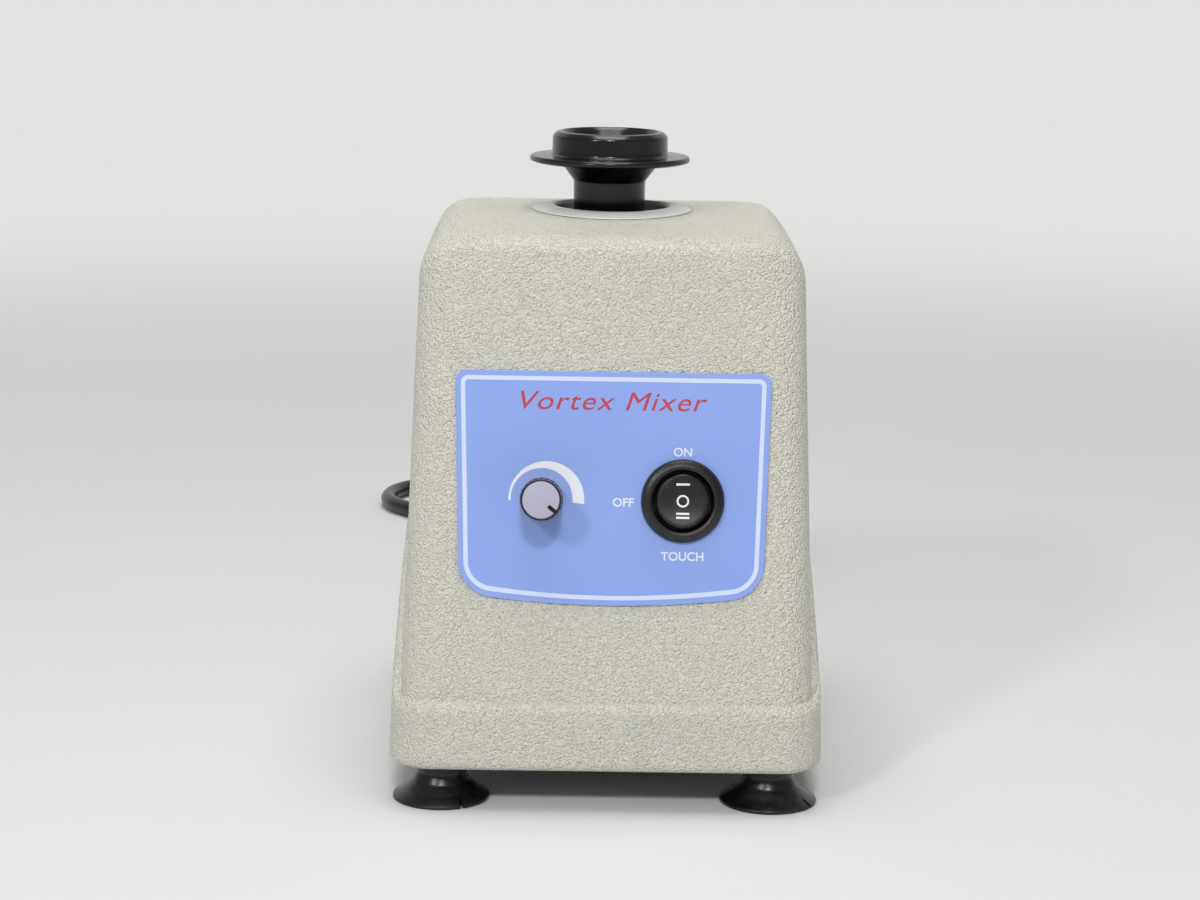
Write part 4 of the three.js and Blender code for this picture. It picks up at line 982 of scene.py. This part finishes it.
def label_points():
    """From the middle of the back, over the edge's small bevel, to the middle of the face."""
    edge, bevel = label_outline(0), label_outline(0.1)
    middle = np.array([[LABEL_X, 58]])
    back = [middle + (edge - middle) * share for share in (0, 0.5)]
    face = [middle + (bevel - middle) * share for share in (0.75, 0.5, 0.25, 0)]
    heights = [LABEL_BACK, LABEL_BACK, LABEL_BACK, LABEL_FACE - 0.1, LABEL_FACE, *[LABEL_FACE] * 4]
    return raised([*back, edge, edge, bevel, *face], heights)


label = surface("control_label_plate", label_points(), poles=True)
cut(label, [
    rod(4.2, -2, 3, PANEL_AXES, on_panel(KNOB_X, CONTROL_UP)),
    rod(10.4, -2, 3, PANEL_AXES, on_panel(SWITCH_X, CONTROL_UP)),
], sharp=15)
label_blue = finish("label_blue_print", (143, 169, 236), (137, 163, 232), rough=(0.46, 0.1),
                    scales=(30, 2800), bump=0.012, specks=0.12, smears=0.05, dust=(196, 200, 214))
dress(label, label_blue, "chassis", ["control_label"])


def ink(name, colour, colour_shade):
    """Printing ink: smooth, with a slight mottle."""
    return finish(name, colour, colour_shade, rough=(0.4, 0.1), scales=(300, 3500), bump=0.006)


white_ink = ink("white_ink", (238, 241, 248), (226, 230, 240))
pale_ink = ink("pale_blue_ink", (216, 228, 249), (206, 219, 244))
red_ink = ink("red_ink", (196, 66, 82), (184, 56, 74))

keyline_sides = [label_outline(1.5), label_outline(1.5), label_outline(2.7), label_outline(2.7)]
LOW_INK, HIGH_INK = LABEL_FACE - 0.02, LABEL_FACE + INK
INK_SECTION = [LOW_INK, HIGH_INK, HIGH_INK, LOW_INK]
keyline = surface("label_keyline", raised(keyline_sides, INK_SECTION), back_to_start=True)
dress(keyline, pale_ink, "chassis")
print("label", 2 * LABEL_HALF_TOP, "mm wide, with a keyline")

# %% [markdown]
# Round the knob the label carries a wedge that grows with the speed. It is the space between two
# circles whose centres are a little apart. The words are text curves, made into a mesh before they are
# carried to the plate.


# %% Label printing
WEDGE_INNER_R, WEDGE_OUTER_R, WEDGE_OFFSET = 8.5, 10.4, 1.3


def wedge_points(columns=60):
    """Between the inner circle about the knob's axis and the outer one, whose centre is a little to the
    right, in the upper half. Columns run from the thin end on the left to the thick end on the right."""
    angle = np.radians(np.linspace(183, -6, columns))
    ahead = np.stack([np.cos(angle), np.sin(angle)], axis=1)
    inner = WEDGE_INNER_R * ahead
    offset = WEDGE_OFFSET * ahead[:, 0]
    reach = offset + np.sqrt(offset ** 2 + WEDGE_OUTER_R ** 2 - WEDGE_OFFSET ** 2)
    outer = np.maximum(reach, WEDGE_INNER_R + 0.05)[:, None] * ahead
    centre = [KNOB_X, CONTROL_UP]
    return raised([centre + inner, centre + inner, centre + outer, centre + outer], INK_SECTION)


wedge = surface("speed_wedge", wedge_points(), round_it=False, back_to_start=True, ends=True)
dress(wedge, white_ink, "chassis")


def thicken(made, layer):
    """Gives a sheet of ink its thickness, in millimetres, outwards from the plate."""
    solid = made.modifiers.new("ink", "SOLIDIFY")
    solid.thickness = layer * MM
    solid.offset = 1
    return made


def words(name, text, x, up, cap_height, material, widen=1.0, bold=0.0, spacing=1.0, slant=0.0):
    """Text centred at a point of the panel, its capitals cap_height tall, as a thin solid layer of ink."""
    curve = bpy.data.curves.new(name, "FONT")
    curve.body = text
    curve.align_x = "CENTER"
    curve.align_y = "CENTER"
    curve.resolution_u = 6
    curve.space_character = spacing
    curve.offset = bold
    curve.shear = slant
    flat = linked(name + "_line", curve)
    mesh = evaluated(flat)
    bpy.data.objects.remove(flat)
    at = np.zeros(len(mesh.vertices) * 3)
    mesh.vertices.foreach_get("co", at)
    at = at.reshape(-1, 3)
    middle = (at.min(0) + at.max(0)) / 2
    scale = cap_height / (at.max(0) - at.min(0))[1]
    flat_at = (at - middle) * [scale * widen, scale, 0] + [x, up, LOW_INK]
    mesh.vertices.foreach_set("co", placed(flat_at * MM, PANEL_AXES, PANEL_AT).ravel())
    mesh.shade_flat()
    mesh.name = name
    made = thicken(linked(name, mesh), HIGH_INK - LOW_INK)
    return dress(made, material, "chassis")


for word, x, up in (("ON", 19.9, 68.2), ("OFF", 3.7, 54.2), ("TOUCH", 20.1, 39.6)):
    words("word_" + word.lower(), word, x, up, 2.45, white_ink, bold=0.018)
words("word_mixer", "Vortex Mixer", 0.8, 81.9, 5.0, red_ink, spacing=1.1, slant=0.28, widen=1.18)
print("printed words on the label")

# %% [markdown]
# The switch is a three-position rocker in a round bezel. The bezel is turned. The rocker is a disc
# whose face is dished along its travel, so its height is a parabola up the panel, carried to a round
# outline with a bevelled rim. Its marks are ink that follows the same height.

# %% Switch bezel and rocker
SWITCH_AT = on_panel(SWITCH_X, CONTROL_UP)
bezel = turned("switch_bezel", [
    [0, -19, 0], [9.8, -19, 0.6], [9.8, 1.0, 0], [11.3, 1.0, 0.2], [11.5, 1.5, 0.4], [10.9, 2.7, 1.0],
    [9.4, 3.3, 0.8], [8.5, 2.9, 0.5], [8.4, -6, 0.2], [0, -6, 0],
], PANEL_AXES, SWITCH_AT, columns=144)
bezel_plastic = finish("switch_plastic", (17, 17, 18), (10, 10, 11), rough=(0.33, 0.14), scales=(90, 2300),
                       bump=0.05, specks=0.08, smears=0.08)
dress(bezel, bezel_plastic, "chassis", ["switch_body"])

ROCKER_R = 7.35
ROCKER_END, ROCKER_DISH = 4.0, 1.1


def rocker_height(up):
    """The face's height out of the panel: lowest in the middle, rising as a parabola to both ends."""
    return ROCKER_END - 0.15 - ROCKER_DISH * (1 - (up / ROCKER_R) ** 2)


def rocker_points(columns=120):
    """Rows: down in the middle below, the round side, the bevel, and the dished face to its middle."""
    angle = circle(columns)
    below = [(0, -3.4), (5.6, -3.4), (6.0, -3.0), (ROCKER_R - 0.2, -0.5), (ROCKER_R, 0.6)]
    rim = [(ROCKER_R, 0.75), (ROCKER_R - 0.06, 0.4), (ROCKER_R - 0.25, 0.18), (ROCKER_R - 0.75, 0.03)]
    face = [(share * (ROCKER_R - 0.9), 0) for share in np.linspace(1, 0, 12)]
    rows = [(r * np.cos(angle), r * np.sin(angle), np.full(columns, z)) for r, z in below]
    rows += [(r * np.cos(angle), r * np.sin(angle), rocker_height(r * np.sin(angle)) - drop)
             for r, drop in [*rim, *face]]
    return np.array([np.stack(line, axis=1) for line in rows]) * MM


rocker = surface("rocker_cap", placed(rocker_points(), PANEL_AXES, SWITCH_AT), poles=True)
rocker_plastic = finish("rocker_plastic", (14, 14, 15), (9, 9, 10), rough=(0.42, 0.14), scales=(110, 2400),
                        bump=0.015, specks=0.08, smears=0.1)
dress(rocker, rocker_plastic, "switch_rocker", ["rocker"])


def mark(name, x, up, round_it=False):
    """Ink on the rocker's face, from grids of x and up: the face's height and a thin layer on it."""
    at = np.stack([x, up, rocker_height(up) - 0.01], axis=-1) * MM
    made = surface(name, placed(at, PANEL_AXES, SWITCH_AT), round_it=round_it)
    made.data.shade_flat()
    return dress(thicken(made, 0.05), white_ink, "switch_rocker")


def bar(name, middle, length, height):
    """A flat stroke across the rocker."""
    up, x = np.meshgrid(np.linspace(-height / 2, height / 2, 4), np.linspace(-length / 2, length / 2, 8),
                        indexing="ij")
    return mark(name, x, up + middle)


bar("mark_on", 4.6, 3.7, 0.62)
bar("mark_touch_upper", -3.45, 3.6, 0.55)
bar("mark_touch_lower", -4.55, 3.6, 0.55)
ring_r, ring_angle = np.meshgrid([1.72, 1.2], circle(48), indexing="ij")
mark("mark_off", ring_r * np.cos(ring_angle), ring_r * np.sin(ring_angle), round_it=True)
print("rocker", 2 * ROCKER_R, "mm across")

# %% [markdown]
# The speed knob is moulded black with flutes for the fingers, and a lilac cap is pressed into its top.
# The flutes are one cosine wave round the side, which fades out at both ends. The pointer is a slot in
# the cap, through which the black body shows.


# %% Knob and cap
KNOB_AT = on_panel(KNOB_X, CONTROL_UP)
FLUTES, FLUTE_DEEP = 22, 0.34
POINTER = math.radians(-39)


def knob_points(columns=FLUTES * 10):
    """The profile turned round, its side drawn in by depth·(half − half·cosine)^1.5 of the angle times
    the number of flutes. depth is nothing at the rims and full between them."""
    side = [(5.93 - 0.4 * s, 4.3 + 10.5 * s) for s in np.linspace(0, 1, 16)]
    profile = np.array([
        (0, 11.7), (3.3, 11.7), (3.3, 3.9), (5.5, 3.9), (5.82, 4.02), *side, (5.5, 15.1), (5.4, 15.32),
        (5.26, 15.4), (5.14, 15.38), (5.1, 15.3), (5.08, 14.4), (0, 14.4)])
    r, z = profile.T
    flute = FLUTE_DEEP * ease((z - 4.3) / 0.8) * ease((15.2 - z) / 0.5) * (r > 5.4)
    angle = circle(columns)
    wave = (0.5 - 0.5 * np.cos(FLUTES * angle)) ** 1.5
    r = profile[:, :1] - flute[:, None] * wave
    return np.stack([r * np.cos(angle), r * np.sin(angle), profile[:, 1:] + 0 * angle], axis=-1) * MM


knob = surface("knob_body", placed(knob_points(), PANEL_AXES, KNOB_AT), poles=True)
knob_plastic = finish("knob_plastic", (14, 14, 15), (9, 9, 10), rough=(0.38, 0.14), scales=(100, 2600),
                      bump=0.02, specks=0.06, smears=0.1)
dress(knob, knob_plastic, "speed_knob", ["knob"])

cap = turned("knob_cap_disc", [
    [0, 14.7, 0], [5.02, 14.7, 0.1], [5.02, 15.6, 0.2], [0, 15.6, 0],
], PANEL_AXES, KNOB_AT, columns=128, steps=5)


def slot_cutter():
    """The pointer's slot as a bar with a round inner end, from 2.5 out past the cap's edge."""
    half = 0.56
    end = np.radians(np.linspace(90, 270, 13))
    line = np.stack([2.5 + half + half * np.cos(end), half * np.sin(end)], axis=1)
    line = np.vstack([line, [[6, -half], [6, half]]])
    turn = np.array([[math.cos(POINTER), math.sin(POINTER)], [-math.sin(POINTER), math.cos(POINTER)]])
    line = line @ turn
    middle = line.mean(0)[None] + 0 * line
    rows = [np.column_stack([ring, np.full(len(line), out)]) for ring, out in
            ((middle, 14), (line, 14), (line, 17), (middle, 17))]
    return surface("cutter", placed(np.array(rows) * MM, PANEL_AXES, KNOB_AT), poles=True)


cut(cap, [slot_cutter()])
cap_plastic = finish("cap_plastic", (180, 178, 197), (172, 170, 190), rough=(0.42, 0.12),
                     scales=(90, 2200), bump=0.02, specks=0.12, smears=0.08)
dress(cap, cap_plastic, "speed_knob", ["knob_cap"])
print("knob with", FLUTES, "flutes")

# %% [markdown]
# Four rubber suction cups hold the mixer down while it shakes. Each is a thin bell on a stem, with a
# slit at its rim that lets a fingernail break the seal. The bell is turned, and the slit is cut.

# %% Feet
foot_rubber = finish("foot_rubber", (14, 14, 15), (9, 9, 10), rough=(0.28, 0.18), scales=(90, 1800),
                     bump=0.03, specks=0.12, smears=0.2, dust=(110, 106, 98))
FOOT_X, FOOT_Y = 45.8, 64.6
SLIT_OUT = 13 * MM
SLIT_SHAPE = [[1.6], [0.3], [1]]  # a round rod drawn long and narrow
FOOT_PROFILE = [
    [2.3, 12.2, 0], [2.3, 7.7, 0], [4.2, 7.7, 0.1], [4.2, 3.6, 1.2], [9.6, 2.3, 2], [12.6, 0.5, 0.3],
    [13.1, 0.02, 0.15], [13.6, 0.12, 0.2], [13.55, 0.9, 0.3], [12.6, 1.5, 0.6], [10.4, 2.9, 3],
    [8.0, 5.2, 3], [6.7, 7.8, 2],
    [7.35, 10.2, 0.8], [7.4, 12.2, 0.3], [2.3, 12.2, 0],
]
for side_name, x in (("left", -FOOT_X), ("right", FOOT_X)):
    for end_name, y in (("front", -FOOT_Y), ("rear", FOOT_Y)):
        place = f"{end_name}_{side_name}"
        foot_at = np.array([x, y, 0]) * MM
        foot = turned(f"suction_foot_{place}", FOOT_PROFILE, at=foot_at, columns=96, closed=True)
        outward = math.radians(-62 if y < 0 else 118) + (0.5 if x > 0 else 0)
        along, across = (math.cos(outward), math.sin(outward), 0), (-math.sin(outward), math.cos(outward), 0)
        slit_axes = np.array([along, across, (0, 0, 1)])
        slit = turned("cutter", [[0, -1, 0], [1.6, -1, 0], [1.6, 2.4, 0], [0, 2.4, 0]],
                      slit_axes * SLIT_SHAPE, foot_at + slit_axes[0] * SLIT_OUT, columns=24)
        cut(foot, [slit])
        dress(foot, foot_rubber, "chassis", [f"foot_{place}"])
print("four suction feet")

# %% [markdown]
# Four coil springs push the carriage up. The wire goes round evenly, but it climbs slowly in the closed
# turn at each end, which gives the spring a flat seat. When the cup is pressed, the real springs get
# shorter; these are built at one length.


# %% Return springs
SPRING_TURNS = 5.5


def spring_points(low, high, wire=0.58 * MM, count=260, sides=12):
    """A tube round a helix in the given box. The climb is slow in the first and the last turn and even
    between them, so the height is the even climb blended with one wire's thickness a turn at each end."""
    turn = np.linspace(0, SPRING_TURNS, count)
    middle = (low + high) / 2
    radius = (high - low)[0] / 2 - wire
    bottom, top = low[2] + wire, high[2] - wire
    closed = 2.1 * wire
    even = (turn - 1) / (SPRING_TURNS - 2)
    height = bottom + closed * np.clip(turn, 0, 1) + (top - bottom - 2 * closed) * np.clip(even, 0, 1)
    height += closed * np.clip(turn - SPRING_TURNS + 1, 0, 1)
    angle = 2 * math.pi * turn
    x, y = middle[0] + radius * np.cos(angle), middle[1] + radius * np.sin(angle)
    path = np.stack([x, y, height], axis=1)
    return capped(tube_points(path, wire, sides))


spring_wire = finish("spring_wire", (158, 160, 163), (128, 131, 135), rough=(0.3, 0.2), scales=(260, 3600),
                     bump=0.01, metallic=1.0, smears=0.1)
for node_name in sorted(name for name in nodes if name.startswith("return_spring")):
    spring_low, spring_high = box(node_name)
    helix = spring_points(spring_low, spring_high)
    spring = surface(node_name.replace("return_", "coil_"), helix, poles=True)
    dress(spring, spring_wire, "chassis", [node_name])
    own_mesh(spring)
print("four springs of", SPRING_TURNS, "turns")

# %% [markdown]
# The remaining pieces keep their CAD shapes, because they are plain machined or pressed parts inside
# the housing or under it. Each gets the finish of its real material: turned steel and die-cast
# aluminium with a fine grain, brass, nylon, and the control board's lacquered green.

# %% Finishes of the inner pieces
# Each row: name, colour, shade, rough, scales, bump, metallic, smears, and how the CAD names begin.
INNER = [
    ("zinc_plated_steel", (150, 153, 156), (118, 121, 124), (0.42, 0.25), (140, 2600), 0.015, 1.0, 0.2,
     "base_plate carriage_plate motor_can rotor_core pot_body touch_switch_bracket"),
    ("ground_steel", (176, 178, 180), (150, 152, 155), (0.28, 0.2), (200, 3800), 0.008, 1.0, 0.0,
     "foot_screw guide_post motor_shaft motor_bearing head_bearing eccentric_hub pot_shaft"),
    ("machined_brass", (205, 170, 92), (180, 142, 66), (0.3, 0.2), (160, 3200), 0.01, 1.0, 0.0,
     "counterweight pot_nut board_standoff plug_blade plug_ground_pin"),
    ("die_cast_aluminium", (186, 189, 192), (160, 163, 167), (0.45, 0.2), (150, 1700), 0.04, 1.0, 0.0,
     "motor_end drive_head heat_sink"),
    ("natural_nylon", (228, 223, 208), (216, 210, 192), (0.5, 0.1), (90, 1800), 0.02, 0.0, 0.1,
     "guide_ring touch_switch_plunger"),
    ("inner_black_plastic", (28, 28, 30), (19, 19, 21), (0.5, 0.12), (120, 2000), 0.04, 0.0, 0.0,
     "touch_switch_body"),
    ("board_lacquer", (36, 92, 56), (24, 70, 42), (0.35, 0.2), (420, 2600), 0.02, 0.0, 0.0,
     "control_board"),
    ("capacitor_film", (146, 62, 46), (128, 50, 38), (0.45, 0.12), (200, 1800), 0.02, 0.0, 0.0,
     "capacitor"),
    ("terminal_plastic", (52, 126, 74), (40, 108, 60), (0.5, 0.12), (180, 1900), 0.03, 0.0, 0.0,
     "terminal_block"),
]
dressed = 0
for *look, smears, starts in INNER:
    material = finish(*look, smears=smears)
    for node_name, node in nodes.items():
        if node_name.startswith(tuple(starts.split())):
            for place in node.material_slots:
                place.material = material
            dressed += 1
print(dressed, "carried-over pieces dressed")

# %% [markdown]
# The setting is a plain pale studio. One sheet is both floor and backdrop, with a wide bend between
# them, so there is no horizon line behind the object. A large soft lamp overhead lights the top, two
# small ones high in front and on the left model the front, and a pale world fills the shadows.


# %% Floor, lamps and world
def studio_points():
    """A floor that runs back, bends up through a quarter circle and goes on as a wall."""
    bend = np.radians(np.linspace(0, 90, 24))
    y = np.concatenate([[-6], 3.5 + 1.5 * np.sin(bend), [5]])
    z = np.concatenate([[0], 1.5 - 1.5 * np.cos(bend), [6]])
    x = np.array([-7, 7])
    return np.stack([x[None] + 0 * y[:, None], y[:, None] + 0 * x, z[:, None] + 0 * x], axis=-1)


floor = surface("studio_floor", studio_points(), round_it=False)
floor_finish = finish("studio_paper", (226, 226, 226), (222, 222, 222), rough=(0.75, 0.05),
                      scales=(3, 900), bump=0.02)
floor.data.materials.append(floor_finish)


FAR_COLOUR = (226, 226, 224)


def pale_far_away(material, near, far):
    """Beyond near from the origin the sheet begins to show its own pale colour to the camera and in
    reflections, whatever light reaches it; beyond far it shows only that."""
    tree = material.node_tree
    shader, out = tree.nodes["Principled BSDF"], tree.nodes["Material Output"]
    length = tree.nodes.new("ShaderNodeVectorMath")
    length.operation = "LENGTH"
    tree.links.new(own_place(tree), length.inputs[0])
    share = tree.nodes.new("ShaderNodeMapRange")
    share.interpolation_type = "SMOOTHERSTEP"
    share.inputs["From Min"].default_value = near
    share.inputs["From Max"].default_value = far
    tree.links.new(length.outputs["Value"], share.inputs["Value"])
    rays = tree.nodes.new("ShaderNodeLightPath")
    seen = math_node(tree, "MAXIMUM", rays.outputs["Is Camera Ray"], rays.outputs["Is Glossy Ray"])
    seen = math_node(tree, "MAXIMUM", seen, rays.outputs["Is Transmission Ray"])
    glow = tree.nodes.new("ShaderNodeEmission")
    glow.inputs["Color"].default_value = linear(FAR_COLOUR)
    blend = tree.nodes.new("ShaderNodeMixShader")
    tree.links.new(scaled(tree, share.outputs["Result"], seen), blend.inputs[0])
    tree.links.new(shader.outputs["BSDF"], blend.inputs[1])
    tree.links.new(glow.outputs["Emission"], blend.inputs[2])
    tree.links.new(blend.outputs["Shader"], out.inputs["Surface"])


pale_far_away(floor_finish, 0.15, 1.5)


def lamp(name, at, target_z, size, power):
    """A square soft lamp at a point, turned so that it faces the axis at a height."""
    data = bpy.data.lights.new(name, "AREA")
    data.shape = "SQUARE"
    data.size = size
    data.energy = power
    away = np.array(at) - [0, 0, target_z]
    away /= np.linalg.norm(away)
    side = np.cross([0, 0.01, 1.0], away)
    side /= np.linalg.norm(side)
    linked(name, data).matrix_world = facing(side, np.cross(away, side), away, at)


lamp("overhead_lamp", (0.0, 0.0, 1.5), 0.1, 0.8, 10.6)
lamp("front_lamp", (0.0, -1.31, 1.1), 0.1, 0.18, 7.6)
lamp("left_lamp", (-0.72, -1.2, 0.95), 0.08, 0.18, 5.2)

world = bpy.data.worlds.new("studio")
bpy.context.scene.world = world
world.use_nodes = True
sky = world.node_tree.nodes["Background"]
sky.inputs["Color"].default_value = (1, 1, 1, 1)
sky.inputs["Strength"].default_value = 0.34
print("studio with three lamps")
